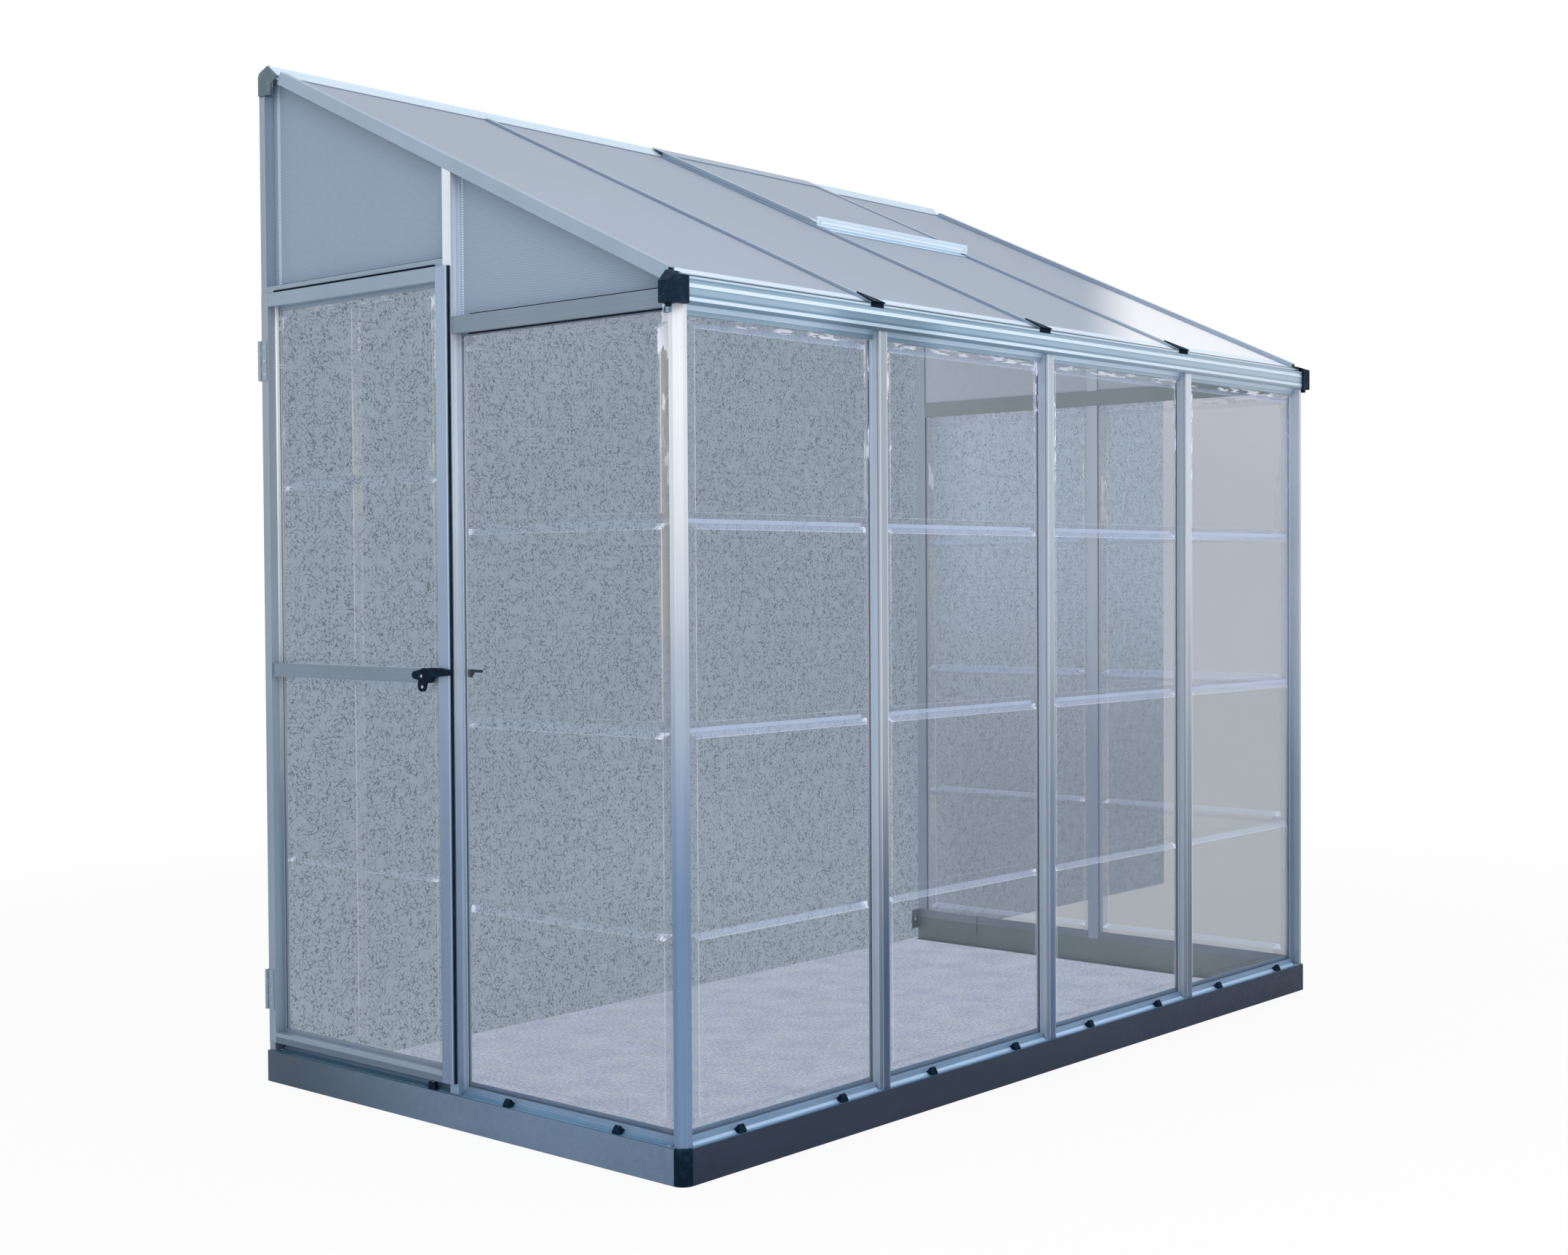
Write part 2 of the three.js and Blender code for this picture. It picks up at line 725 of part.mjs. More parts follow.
// Gutter and eave bar: a moulded front, an open trough, a hollow back with a seat for the sheets, and two
// legs that hold the tops of the front panels
function gutter_outline() {
  const trough_floor = gutter_bottom + gutter_floor_rise;
  const front = scaled_shares(gutter_relief_shares, 0, gutter_bottom, gutter_relief, gutter_height);
  const seat_front = trough_back + upstand_wall;
  const upstand_top = eave_height + upstand_rise;
  return [
    ...front,
    [gutter_wall, gutter_bottom + gutter_height],
    [gutter_wall, trough_floor],
    [trough_back, trough_floor],
    [trough_back, upstand_top],
    [seat_front, upstand_top],
    [seat_front, height_at(seat_front, seat_off)],
    [flange_back, height_at(flange_back, seat_off)],
    [flange_back, leg_bottom],
    [slot_back, leg_bottom],
    [slot_back, leg_slot_top],
    [slot_front, leg_slot_top],
    [slot_front, leg_bottom],
    [eave_line, leg_bottom],
    [eave_line, gutter_bottom],
    [gutter_relief / 2, gutter_bottom],
  ];
}

function make_gutter() {
  const trough_floor = gutter_bottom + gutter_floor_rise;
  const low_chamber = rectangle(gutter_wall, trough_back, gutter_bottom + chamber_wall, trough_floor - chamber_wall);
  const front = eave_line + chamber_wall;
  const rear = flange_back - chamber_wall;
  const floor = leg_slot_top + chamber_wall;
  const rear_chamber = [
    [front, floor],
    [rear, floor],
    [rear, height_at(rear, seat_off - chamber_wall)],
    [front, height_at(front, seat_off - chamber_wall)],
  ];
  const gutter = extrude(gutter_outline(), length, across_from(0), [low_chamber, rear_chamber]);
  add('gutter', gutter, 'aluminium');
}

// Cap over the gutter's end: three crossed outlines give its hipped top and rounded corner, and a small
// spout below drains the trough through an opening beside the gutter's end
function make_gutter_caps() {
  const outer = -gutter_cap_outside;
  const front = -gutter_cap_front;
  const side_height = gutter_cap_top - gutter_cap_side_fall;
  const front_height = gutter_cap_top - gutter_cap_front_fall;
  const corner_steps = 6;
  const corner = Array.from({ length: corner_steps + 1 }, (_, i) => {
    const turn = Math.PI * (1 + i / corner_steps / 2);
    const centre_x = outer + gutter_cap_corner;
    const centre_y = front + gutter_cap_corner;
    return [centre_x + gutter_cap_corner * Math.cos(turn), centre_y + gutter_cap_corner * Math.sin(turn)];
  });
  const plan = [...corner, [gutter_cap_inside, front], [gutter_cap_inside, gutter_cap_back], [outer, gutter_cap_back]];
  const height = gutter_cap_top - gutter_cap_bottom;
  const wide = length;
  const front_view = [[outer, gutter_cap_bottom], [gutter_cap_inside, gutter_cap_bottom],
    [gutter_cap_inside, gutter_cap_top], [0, gutter_cap_top], [outer, side_height]];
  const side_view = [[front, gutter_cap_bottom], [gutter_cap_back, gutter_cap_bottom],
    [gutter_cap_back, gutter_cap_top], [eave_line, gutter_cap_top], [front, front_height]];
  const body = extrude(plan, height, up_from(gutter_cap_bottom));
  const from_front = extrude(front_view, wide, forward_from(wide / 2));
  const from_side = extrude(side_view, wide, across_from(-wide / 2));
  const upstand_top = eave_height + upstand_rise + gap;
  const far = gutter_cap_inside + overrun;
  const rear = gutter_cap_back + overrun;
  const socket = block(-gap, far, -gap, rear, gutter_bottom - gap, upstand_top);
  const leg_room = block(-gap, far, eave_line - gap, rear, leg_bottom, upstand_top);
  const post_room = block(face_inset - gap, far, face_inset - gap, rear, leg_bottom, gutter_bottom);
  const cap = body.intersect(from_front).intersect(from_side).subtract(socket).subtract(leg_room);
  const mouth_floor = gutter_bottom + gutter_floor_rise;
  const mouth_top = mouth_floor + spout_mouth;
  const spout_height = gutter_bottom - spout_bottom;
  const bore_height = mouth_top - spout_bottom;
  const spout = extrude(circle(-spout_set, spout_line, spout_radius), spout_height, up_from(spout_bottom));
  const bore = extrude(circle(-spout_set, spout_line, spout_bore), bore_height, up_from(spout_bottom));
  const mouth_start = spout_line - spout_bore;
  const mouth_end = spout_line + spout_bore;
  const mouth = block(-spout_set, gap, mouth_start, mouth_end, mouth_floor, mouth_top);
  const finished = cap.subtract(post_room).add(spout).subtract(bore).subtract(mouth);
  add('gutter_cap_left', finished, 'black_plastic');
  add_mirrored('gutter_cap_right', finished, 'black_plastic');
}

const roof_end = ridge_front + roof_end_share * ridge_width;

// Takes away what lies below a roof level in front of a depth, so that a bar ends plumb on the gutter
function plumb_cut(y, off, x0, x1) {
  const low = leg_bottom;
  const outline = [[-overrun, low], [y, low], [y, height_at(y, off)], [-overrun, height_at(-overrun, off)]];
  return extrude(outline, x1 - x0, across_from(x0));
}

const under_sheet = seat_off - rafter_flange;
const eave_back = flange_back + gap;
const above_seat = seat_off + eave_seat / 2;

function rafter_outline() {
  const half = [
    [rafter_cap_half, rafter_cap_rise],
    [rafter_cap_half, eave_seat],
    [web_half, eave_seat],
    [web_half, seat_off],
    [rafter_flange_half, seat_off],
    [rafter_flange_half, under_sheet],
    [rafter_cap_half, under_sheet],
    [rafter_cap_half, -rafter_box_depth],
  ];
  return [...half, ...half.map(([x, off]) => [-x, off]).reverse()];
}

function make_rafters() {
  const inner = rafter_cap_half - rafter_flange;
  const hole = rectangle(-inner, inner, rafter_flange - rafter_box_depth, under_sheet - rafter_flange);
  const long = run_at(depth, 0) + overrun;
  const wide = rafter_flange_half + overrun;
  let rafter = extrude(rafter_outline(), long, down_slope_from(long), [hole]);
  rafter = rafter.subtract(plumb_cut(eave_back, above_seat, -wide, wide));
  const cap_start = trough_back + upstand_wall + gap;
  rafter = rafter.subtract(block(-wide, wide, -overrun, cap_start, leg_bottom, roof_top));
  const seat_start = seat_run - gap;
  rafter = rafter.subtract(roof_block(-wide, wide, seat_start, 2 * long, under_sheet - gap, above_seat));
  rafter = rafter.subtract(roof_block(-wide, wide, ridge_lip_run - 2 * ridge_wall, 2 * long, above_seat, depth));
  rafter = rafter.subtract(block(-wide, wide, roof_end, 2 * depth, ridge_foot, 2 * roof_top));
  for (let i = 1; i < bay_count; i += 1) {
    add(`rafter_${i}`, rafter, 'aluminium').position.x = i * bay;
  }
}

// Clip at a rafter's foot: a leaf that points up the cap, and a skirt down behind the gutter's lip
function make_rafter_clips() {
  const top = rafter_cap_rise + gap + clip_wall;
  const leaf = [[-clip_half, -clip_shoulder / 2], [-clip_half, clip_shoulder], [0, clip_point],
    [clip_half, clip_shoulder], [clip_half, -clip_shoulder / 2]];
  const leaf_place = new THREE.Matrix4().makeBasis(right, up_slope, off_roof);
  leaf_place.setPosition(0, ...from_roof(0, rafter_cap_rise + gap));
  const skirt_back = trough_back - gap;
  const skirt_front = skirt_back - clip_wall;
  const skirt_top = height_at(skirt_back, top - clip_wall / 2);
  const skirt = block(-clip_half, clip_half, skirt_front, skirt_back, skirt_top - clip_skirt, skirt_top);
  const clip = extrude(leaf, clip_wall, leaf_place).add(skirt);
  for (let i = 1; i < bay_count; i += 1) {
    add(`rafter_clip_${i}`, clip, 'black_plastic').position.x = i * bay;
  }
}

// Rake section: outer fascia, hood over the sheet's edge, flange under it, and lips for the gable sheet
function rake_outline() {
  const fascia_back = face_inset + rake_wall;
  const hood_end = face_inset + rake_hood;
  const lip_front = slot_front - lip;
  return [
    [face_inset, -rake_drop],
    [face_inset, rake_rise],
    [hood_end, rake_rise],
    [hood_end, eave_seat],
    [hood_end - rake_wall, eave_seat],
    [hood_end - rake_wall, rake_rise - rake_wall],
    [fascia_back, rake_rise - rake_wall],
    [fascia_back, seat_off],
    [flange_back, seat_off],
    [flange_back, -rake_drop],
    [slot_back, -rake_drop],
    [slot_back, under_sheet],
    [slot_front, under_sheet],
    [slot_front, -rake_drop],
    [lip_front, -rake_drop],
    [lip_front, under_sheet],
    [fascia_back, under_sheet],
    [fascia_back, -rake_drop],
  ];
}

function make_rakes() {
  const end = seat_run - gap;
  let rake = extrude(rake_outline(), end, down_slope_from(end));
  rake = rake.subtract(plumb_cut(eave_back, above_seat, 0, base_depth));
  rake = rake.subtract(block(0, base_depth, -overrun, gutter_cap_back + gap, leg_bottom, roof_top));
  add('rake_left', rake, 'aluminium');
  add_mirrored('rake_right', rake, 'aluminium');
}

// Ridge bar: a strip bent over the sheets' upper ends, a seat under them, and a bead for the vent to turn on
function make_ridge() {
  const path = scaled_shares(ridge_path_shares, ridge_front, ridge_foot, ridge_width, ridge_height);
  path.push(from_roof(ridge_lip_run, eave_seat + ridge_wall));
  const run = length - 2 * face_inset;
  const hood = extrude(strip(path, ridge_wall), run, across_from(face_inset));
  const seat_end = run_at(depth - ridge_wall / 2, under_sheet);
  const seat = roof_block(face_inset, face_inset + run, seat_run, seat_end, under_sheet, seat_off);
  const bead = extrude(circle(bead_y, bead_z, bead_radius), run, across_from(face_inset));
  add('ridge', hood.add(seat).add(bead), 'aluminium');
  const cap_outline = scaled_shares(ridge_cap_shares, ridge_front, ridge_foot, ridge_width, ridge_height);
  const plug_outline = scaled_shares(ridge_plug_shares, ridge_front, ridge_foot, ridge_width, ridge_height);
  const cap_start = face_inset - gap - ridge_cap_wall;
  const plate = extrude(cap_outline, ridge_cap_wall, across_from(cap_start));
  const plug = extrude(plug_outline, ridge_plug_length + ridge_cap_wall, across_from(cap_start));
  add('ridge_cap_left', plate.add(plug), 'grey_plastic');
  add_mirrored('ridge_cap_right', plate.add(plug), 'grey_plastic');
}

function make_roof_sheets() {
  for (let i = 0; i < bay_count; i += 1) {
    const first = i === 0;
    const last = i === bay_count - 1;
    const start = first ? face_inset + rake_wall + gap : i * bay + web_half + gap;
    const end = last ? length - face_inset - rake_wall - gap : (i + 1) * bay - web_half - gap;
    const run_end = i === vent_bay ? short_sheet_end : sheet_end;
    add(`roof_sheet_${i + 1}`, roof_block(start, end, sheet_start, run_end, -sheet, 0), 'twin_wall');
  }
}

// Gable sheet between two depths, from a header's slot up to the rake's slot
function gable_sheet(start, end, bottom) {
  const top_off = under_sheet - gap;
  const outline = [[start, bottom], [end, bottom], [end, height_at(end, top_off)], [start, height_at(start, top_off)]];
  const margin = (slot - sheet) / 2;
  return extrude(outline, sheet, across_from(slot_front + margin));
}

function make_gable_sheets() {
  const front_start = eave_back;
  const front_end = side_post_line - web_half - gap;
  const rear_start = side_post_line + web_half + gap;
  const rear_end = roof_end;
  const side_slot = side_header_line + web_half + gap;
  const door_slot = door_header_line + web_half + gap;
  add('gable_sheet_left_front', gable_sheet(front_start, front_end, side_slot), 'twin_wall');
  add('gable_sheet_left_rear', gable_sheet(rear_start, rear_end, door_slot), 'twin_wall');
  add_mirrored('gable_sheet_right_front', gable_sheet(front_start, front_end, side_slot), 'twin_wall');
  add_mirrored('gable_sheet_right_rear', gable_sheet(rear_start, rear_end, side_slot), 'twin_wall');
}

// One raised tray of a pressed panel: two crossed trapezoids give its four sloping sides.
// Drawn with x across, z up and y into the building.
function tray(x0, x1, z0, z1, rise, root, shift) {
  const bevel = tray_bevel * (rise / tray_rise);
  const trapezoid = (low, high) => [[low, root], [low, 0], [low + bevel, -rise], [high - bevel, -rise],
    [high, 0], [high, root]].map(([along, out]) => [along, out + shift]);
  const plan = extrude(trapezoid(x0, x1), z1 - z0, up_from(z0));
  const side = extrude(trapezoid(z0, z1).map(([z, y]) => [y, z]), x1 - x0, across_from(x0));
  return plan.intersect(side);
}

// A pressed sheet standing from z = bottom, with trays in the given columns and rows raised outward
function pressed_panel(width, bottom, top, thickness, rise, columns, rows) {
  let panel = block(0, width, 0, thickness, bottom, top);
  for (const [x0, x1] of columns) {
    for (const [z0, z1] of rows) {
      panel = panel.add(tray(x0, x1, z0, z1, rise, thickness / 2, 0));
      panel = panel.subtract(tray(x0, x1, z0, z1, rise, overrun, thickness));
    }
  }
  return panel;
}

const panel_bottom = base_height + base_slot_rise + gap;

function wall_panel(width, low_margin, high_margin) {
  const height = panel_top - panel_bottom;
  const channels = channel_shares.map((share) => panel_bottom + share * height);
  const first = base_top + tray_margin;
  const last = leg_bottom - tray_margin;
  const starts = [first, ...channels.map((z) => z + channel_width / 2)];
  const ends = [...channels.map((z) => z - channel_width / 2), last];
  const rows = starts.map((z, i) => [z, ends[i]]);
  const columns = [[low_margin, width - high_margin]];
  return pressed_panel(width, panel_bottom, panel_top, panel_thickness, tray_rise, columns, rows);
}

const corner_slot = slot_front + corner_web + gap;
const corner_margin = corner_end - corner_slot + tray_margin;
const post_margin = post_half + post_reach - web_half - gap + tray_margin;
const side_margin = side_post_half + post_reach - web_half - gap + tray_margin;
const wall_margin = wall_post_half + wall_post_reach - web_half - gap + tray_margin;

function make_front_panels() {
  for (let i = 0; i < bay_count; i += 1) {
    const at_left = i === 0;
    const at_right = i === bay_count - 1;
    const start = at_left ? corner_slot : i * bay + web_half + gap;
    const end = at_right ? length - corner_slot : (i + 1) * bay - web_half - gap;
    const low_margin = at_left ? corner_margin : post_margin;
    const high_margin = at_right ? corner_margin : post_margin;
    const panel = wall_panel(end - start, low_margin, high_margin);
    add(`front_panel_${i + 1}`, panel, 'clear_panel').position.set(start, panel_depth, 0);
  }
}

// On the left wall a panel is turned so that its trays face out, and it runs from its rear end forward
function make_side_panels() {
  const middle = side_post_line - web_half - gap;
  const start = flange_back + gap;
  const start_margin = corner_end - start + tray_margin;
  const front_panel = wall_panel(middle - start, side_margin, start_margin);
  const left = add('side_panel_left', front_panel, 'clear_panel');
  left.rotation.z = -Math.PI / 2;
  left.position.set(panel_depth, middle, 0);
  const right_panel = wall_panel(middle - start, start_margin, side_margin);
  const right_front = add('side_panel_right_front', right_panel, 'clear_panel');
  right_front.rotation.z = Math.PI / 2;
  right_front.position.set(length - panel_depth, start, 0);
  const rear_start = side_post_line + web_half + gap;
  const rear_end = wall_post_line - web_half - gap;
  const rear_panel = wall_panel(rear_end - rear_start, side_margin, wall_margin);
  const right_rear = add('side_panel_right_rear', rear_panel, 'clear_panel');
  right_rear.rotation.z = Math.PI / 2;
  right_rear.position.set(length - panel_depth, rear_start, 0);
}

// Levels of the vent off the roof sheets
const vent_low = rafter_cap_rise + vent_clear;
const vent_seat = vent_low + vent_foot_wall;
const vent_cover = vent_seat + sheet + 2 * gap;
const hook_inner = bead_radius + hook_gap;
const hook_outer = hook_inner + hook_wall;
const vent_top = bead_off + hook_outer;
const vent_line = (vent_bay + 1 / 2) * bay;
const rail_end = ridge_run - rail_lead;

// Upper rail of the vent, hooked over the ridge bead, and a channel down each side
function make_vent_frame() {
  const inset = gap / 3;
  const outer = inset - vent_half;
  const inner = vent_rail_width - vent_half;
  const channel = [
    [outer, vent_low + inset],
    [outer, vent_top - inset],
    [inner, vent_top - inset],
    [inner, vent_cover + inset],
    [vent_wall - vent_half, vent_cover + inset],
    [vent_wall - vent_half, vent_seat - inset],
    [inner, vent_seat - inset],
    [inner, vent_low + inset],
  ];
  const rail_start = rail_end - top_rail_width;
  const channel_end = rail_start + vent_wall;
  const channel_run = channel_end - vent_bar_end - gap;
  const left = extrude(channel, channel_run, down_slope_from(channel_end));
  const right_side = extrude(channel.map(([x, off]) => [-x, off]), channel_run, down_slope_from(channel_end));
  const cover_low = bead_off + hook_inner;
  const jaw_front = bead_run - hook_outer;
  const jaw_back = bead_run - hook_inner;
  const jaw_low = cover_low - jaw_drop;
  const arc = (radius) => Array.from({ length: hook_steps + 1 }, (_, i) => {
    const turn = THREE.MathUtils.degToRad(90 - (hook_turn * i) / hook_steps);
    return [bead_run + radius * Math.cos(turn), bead_off + radius * Math.sin(turn)];
  });
  const top_rail = [
    [rail_start, vent_low],
    [rail_end, vent_low],
    [rail_end, cover_low],
    [jaw_front, cover_low],
    [jaw_front, jaw_low],
    [jaw_back, jaw_low],
    [jaw_back, cover_low],
    ...arc(hook_inner),
    ...arc(hook_outer).reverse(),
    [rail_start, vent_top],
    [rail_start, vent_cover],
    [rail_end - vent_wall, vent_cover],
    [rail_end - vent_wall, vent_seat],
    [rail_start, vent_seat],
  ];
  const rail = extrude(top_rail, 2 * vent_half, roof_across_from(-vent_half));
  add('vent_frame', join([left, right_side, rail]), 'aluminium').position.x = vent_line;
}

const stay_pivot = [stay_run, -stay_drop];
const stay_way = [Math.sin(stay_tilt), -Math.cos(stay_tilt)];
const peg_point = [stay_pivot[0] + stay_offset * stay_way[0], stay_pivot[1] + stay_offset * stay_way[1]];
const arm_start = lug_wall / 2 + gap;
const arm_end = arm_start + stay_wall;

// Lower bar of the vent: an upright front face, a slot for the sheet, and the lug and pin of the stay
function make_vent_bottom_bar() {
  const face_low = height_at(vent_face_line, vent_low);
  const face_high = face_low + vent_face_height;
  const face_back = vent_face_line + vent_face_wall;
  const at_back = (off) => to_roof(face_back, height_at(face_back, off));
  const outline = [
    to_roof(vent_face_line, face_low),
    to_roof(vent_face_line, face_high),
    to_roof(face_back, face_high),
    at_back(vent_top),
    [vent_bar_end, vent_top],
    [vent_bar_end, vent_cover],
    at_back(vent_cover),
    at_back(vent_seat),
    [vent_bar_end, vent_seat],
    [vent_bar_end, vent_low],
  ];
  const bar = extrude(outline, 2 * vent_half, roof_across_from(-vent_half));
  const [pivot_run, pivot_off] = stay_pivot;
  const lug_outline = rectangle(pivot_run - lug_half, pivot_run + lug_half, pivot_off - lug_half, vent_seat);
  const lug = extrude(lug_outline, lug_wall, roof_across_from(-lug_wall / 2));
  const pin = extrude(circle(pivot_run, pivot_off, stay_pin), arm_end + lug_wall / 2, roof_across_from(-lug_wall / 2));
  add('vent_bottom_bar', join([bar, lug, pin]), 'aluminium').position.x = vent_line;
}

function make_vent_sheet() {
  const half = vent_half - vent_wall - gap;
  const face_back = vent_face_line + vent_face_wall;
  const start = run_at(face_back, vent_cover) + gap;
  const low = vent_seat + gap;
  const vent_sheet = roof_block(-half, half, start, rail_end - vent_wall - gap, low, low + sheet);
  add('vent_sheet', vent_sheet, 'twin_wall').position.x = vent_line;
}

// A slotted arm with round ends, hanging from the vent's lug
function make_vent_stay() {
  const [run, off] = stay_pivot;
  const point = (along, side) => [
    run + along * stay_way[0] - side * stay_way[1],
    off + along * stay_way[1] + side * stay_way[0],
  ];
  const half_steps = round_steps / 2;
  const half_round = (along, half, first_turn) => Array.from({ length: half_steps + 1 }, (_, i) => {
    const turn = first_turn + (Math.PI * i) / half_steps;
    return point(along + half * Math.cos(turn), half * Math.sin(turn));
  });
  const rounded = (start, end, half) => [
    ...half_round(start, half, Math.PI / 2),
    ...half_round(end, half, -Math.PI / 2),
  ];
  const outline = rounded(0, stay_length - stay_half, stay_half);
  const slot_hole = rounded(stay_offset, stay_offset + stay_travel, stay_slot_half);
  const pivot_hole = circle(run, off, stay_pin + gap);
  const arm = extrude(outline, stay_wall, roof_across_from(arm_start), [slot_hole, pivot_hole]);
  add('vent_stay', arm, 'aluminium').position.x = vent_line;
}

// Sill on the upper edge of the short roof sheet, with the bracket and peg that the stay slides on
function make_vent_sill() {
  const half = bay / 2 - rafter_flange_half - gap;
  const wall_run = short_sheet_end + gap;
  const wall_end = wall_run + sill_wall;
  const outline = [
    [sill_start, under_sheet],
    [sill_start, seat_off + gap],
    [wall_run, seat_off + gap],
    [wall_run, gap],
    [sill_start, gap],
    [sill_start, gap + sill_wall],
    [wall_run, gap + sill_wall],
    [wall_run, sill_upstand],
    [wall_end, sill_upstand],
    [wall_end, under_sheet],
  ];
  const sill = extrude(outline, 2 * half, roof_across_from(-half));
  const [peg_run, peg_off] = peg_point;
  const near = arm_end + 4 * gap;
  const bracket_outline = [
    [wall_run, under_sheet - sill_wall],
    [wall_run, seat_off],
    [wall_end, seat_off],
    [peg_run + stay_pin, peg_off + 2 * stay_pin],
    [peg_run + 2 * stay_pin, peg_off],
    [peg_run, peg_off - 2 * stay_pin],
    [peg_run - 2 * stay_pin, peg_off - stay_pin],
  ];
  const bracket = extrude(bracket_outline, lug_wall, roof_across_from(near));
  const peg_start = arm_start - gap / 2;
  const peg = extrude(circle(peg_run, peg_off, stay_pin), near - peg_start + lug_wall / 2, roof_across_from(peg_start));
  add('vent_sill', join([sill, bracket, peg]), 'aluminium').position.x = vent_line;
}

const glass_front = door_back - door_lip - gap - door_glass;
const glass_lip_back = glass_front - gap;
const stile_inner_front = latch_stile_line + latch_stile_width;
const rail_front_end = stile_inner_front + gap;
const rail_back_end = hinge_stile_line - gap;

// Plan of a stile: a lap over the post, a hollow body, and two lips that hold the door panel
function stile_outline(lap_end, body_outer, body_inner) {
  const into = Math.sign(body_inner - body_outer);
  const lip_end = body_inner + into * door_lip_reach;
  return [
    [door_front, lap_end],
    [lap_back, lap_end],
    [lap_back, body_outer],
    [door_back, body_outer],
    [door_back, lip_end],
    [door_back - door_lip, lip_end],
    [door_back - door_lip, body_inner],
    [glass_lip_back, body_inner],
    [glass_lip_back, lip_end],
    [glass_lip_back - door_lip, lip_end],
    [glass_lip_back - door_lip, body_inner],
    [door_front, body_inner],
  ];
}

function stile_hole(outer, inner) {
  const into = Math.sign(inner - outer) * tube_wall;
  return rectangle(door_front + tube_wall, door_back - door_lip - tube_wall, outer + into, inner - into);
}

// Moving half of a hinge: two knuckles bored for the pin, on a plate across the face of the stile
function moving_knuckles(bottom) {
  const pieces = [];
  const plate_front = door_front - hinge_plate_wall;
  for (let i = 1; i < knuckle_count; i += 2) {
    const start = bottom + i * knuckle_pitch + gap;
    const tall = knuckle_pitch - 2 * gap;
    pieces.push(extrude(circle(-hinge_out, hinge_line, knuckle_radius), tall, up_from(start)));
    const leaf = rectangle(plate_front, door_front, hinge_line - hinge_plate, hinge_line);
    pieces.push(extrude(leaf, tall, up_from(start)));
  }
  const bore = extrude(circle(-hinge_out, hinge_line, hinge_pin + gap), hinge_height, up_from(bottom));
  const knuckles = join(pieces).subtract(bore);
  const plate_end = hinge_lap_line - gap;
  const plate = rectangle(plate_front, door_front, hinge_line - hinge_plate, plate_end);
  return knuckles.add(extrude(plate, hinge_height, up_from(bottom)));
}

function make_door_stiles() {
  const latch_outline = stile_outline(latch_lap_line, latch_stile_line, stile_inner_front);
  const latch_hole = stile_hole(latch_stile_line, stile_inner_front);
  add('door_latch_stile', extrude(latch_outline, door_height, up_from(door_bottom), [latch_hole]), 'aluminium');
  const hinge_body_end = hinge_stile_line + hinge_stile_width;
  const hinge_outline = stile_outline(hinge_lap_line, hinge_body_end, hinge_stile_line);
  const hinge_hole = stile_hole(hinge_body_end, hinge_stile_line);
  let stile = extrude(hinge_outline, door_height, up_from(door_bottom), [hinge_hole]);
  for (const bottom of hinge_bottoms) {
    stile = stile.add(moving_knuckles(bottom));
  }
  add('door_hinge_stile', stile, 'aluminium');
}

// Top or bottom rail of the door: a hollow bar with two lips towards the panel
function door_rail(bar_low, bar_high, panel_side, toward) {
  const lip_end = panel_side + toward * door_lip_reach;
  const far_side = toward < 0 ? bar_high : bar_low;
  const outline = [
    [door_front, far_side],
    [door_back, far_side],
    [door_back, lip_end],
    [door_back - door_lip, lip_end],
    [door_back - door_lip, panel_side],
    [glass_lip_back, panel_side],
    [glass_lip_back, lip_end],
    [glass_lip_back - door_lip, lip_end],
    [glass_lip_back - door_lip, panel_side],
    [door_front, panel_side],
  ];
  const inner_back = door_back - door_lip - tube_wall;
  const hole = rectangle(door_front + tube_wall, inner_back, bar_low + tube_wall, bar_high - tube_wall);
  const bar = extrude(outline, rail_back_end - rail_front_end, forward_from(rail_back_end), [hole]);
  const lip_room = door_lip_reach + gap;
  const lip_front = glass_lip_back - door_lip - gap;
  const front_cut = block(lip_front, door_back + overrun, 0, rail_front_end + lip_room, 0, roof_top);
  const back_cut = block(lip_front, door_back + overrun, rail_back_end - lip_room, depth, 0, roof_top);
  return bar.subtract(front_cut).subtract(back_cut);
}

function make_door_rails() {
  const top_low = door_top - top_rail_height;
  add('door_top_rail', door_rail(top_low, door_top, top_low, -1), 'aluminium');
  const bottom_high = door_bottom + bottom_rail_height;
  add('door_bottom_rail', door_rail(door_bottom, bottom_high, bottom_high, 1), 'aluminium');
  const rail_back = glass_lip_back - door_lip - gap;
  const outline = rectangle(middle_rail_front, rail_back, middle_rail_bottom, middle_rail_top);
  const inset = tube_wall;
  const hole = rectangle(middle_rail_front + inset, rail_back - inset, middle_rail_bottom + inset, middle_rail_top - inset);
  const bar = extrude(outline, rail_back_end - rail_front_end, forward_from(rail_back_end), [hole]);
  add('door_middle_rail', bar.subtract(spindle_bore()), 'aluminium');
}

function spindle_bore() {
  return extrude(circle(latch_line, latch_height, spindle_radius + gap), base_depth, across_from(0));
}

function make_door_panel() {
  const start = rail_front_end;
  const end = rail_back_end;
  const low = door_bottom + bottom_rail_height + gap;
  const high = door_top - top_rail_height - gap;
  const half = channel_width / 2;
  const edge = door_lip_reach + tray_margin;
  const from_rear = (y) => end - y;
  const columns = [[edge, from_rear(door_rib_line + half)], [from_rear(door_rib_line - half), end - start - edge]];
  const [low_channel, high_channel] = door_channel_shares.map((share) => door_bottom + share * door_height);
  const rows = [
    [low + edge, low_channel - half],
    [low_channel + half, middle_rail_bottom - half],
    [middle_rail_top + half, high_channel - half],
    [high_channel + half, high - edge],
  ];
  const panel = pressed_panel(end - start, low, high, door_glass, door_tray_rise, columns, rows);
  const bore_line = from_rear(latch_line);
  const bore = extrude(circle(bore_line, latch_height, spindle_radius + gap), depth, forward_from(depth / 2));
  const mesh = add('door_panel', panel.subtract(bore), 'clear_panel');
  mesh.rotation.z = -Math.PI / 2;
  mesh.position.set(glass_front, end, 0);
}

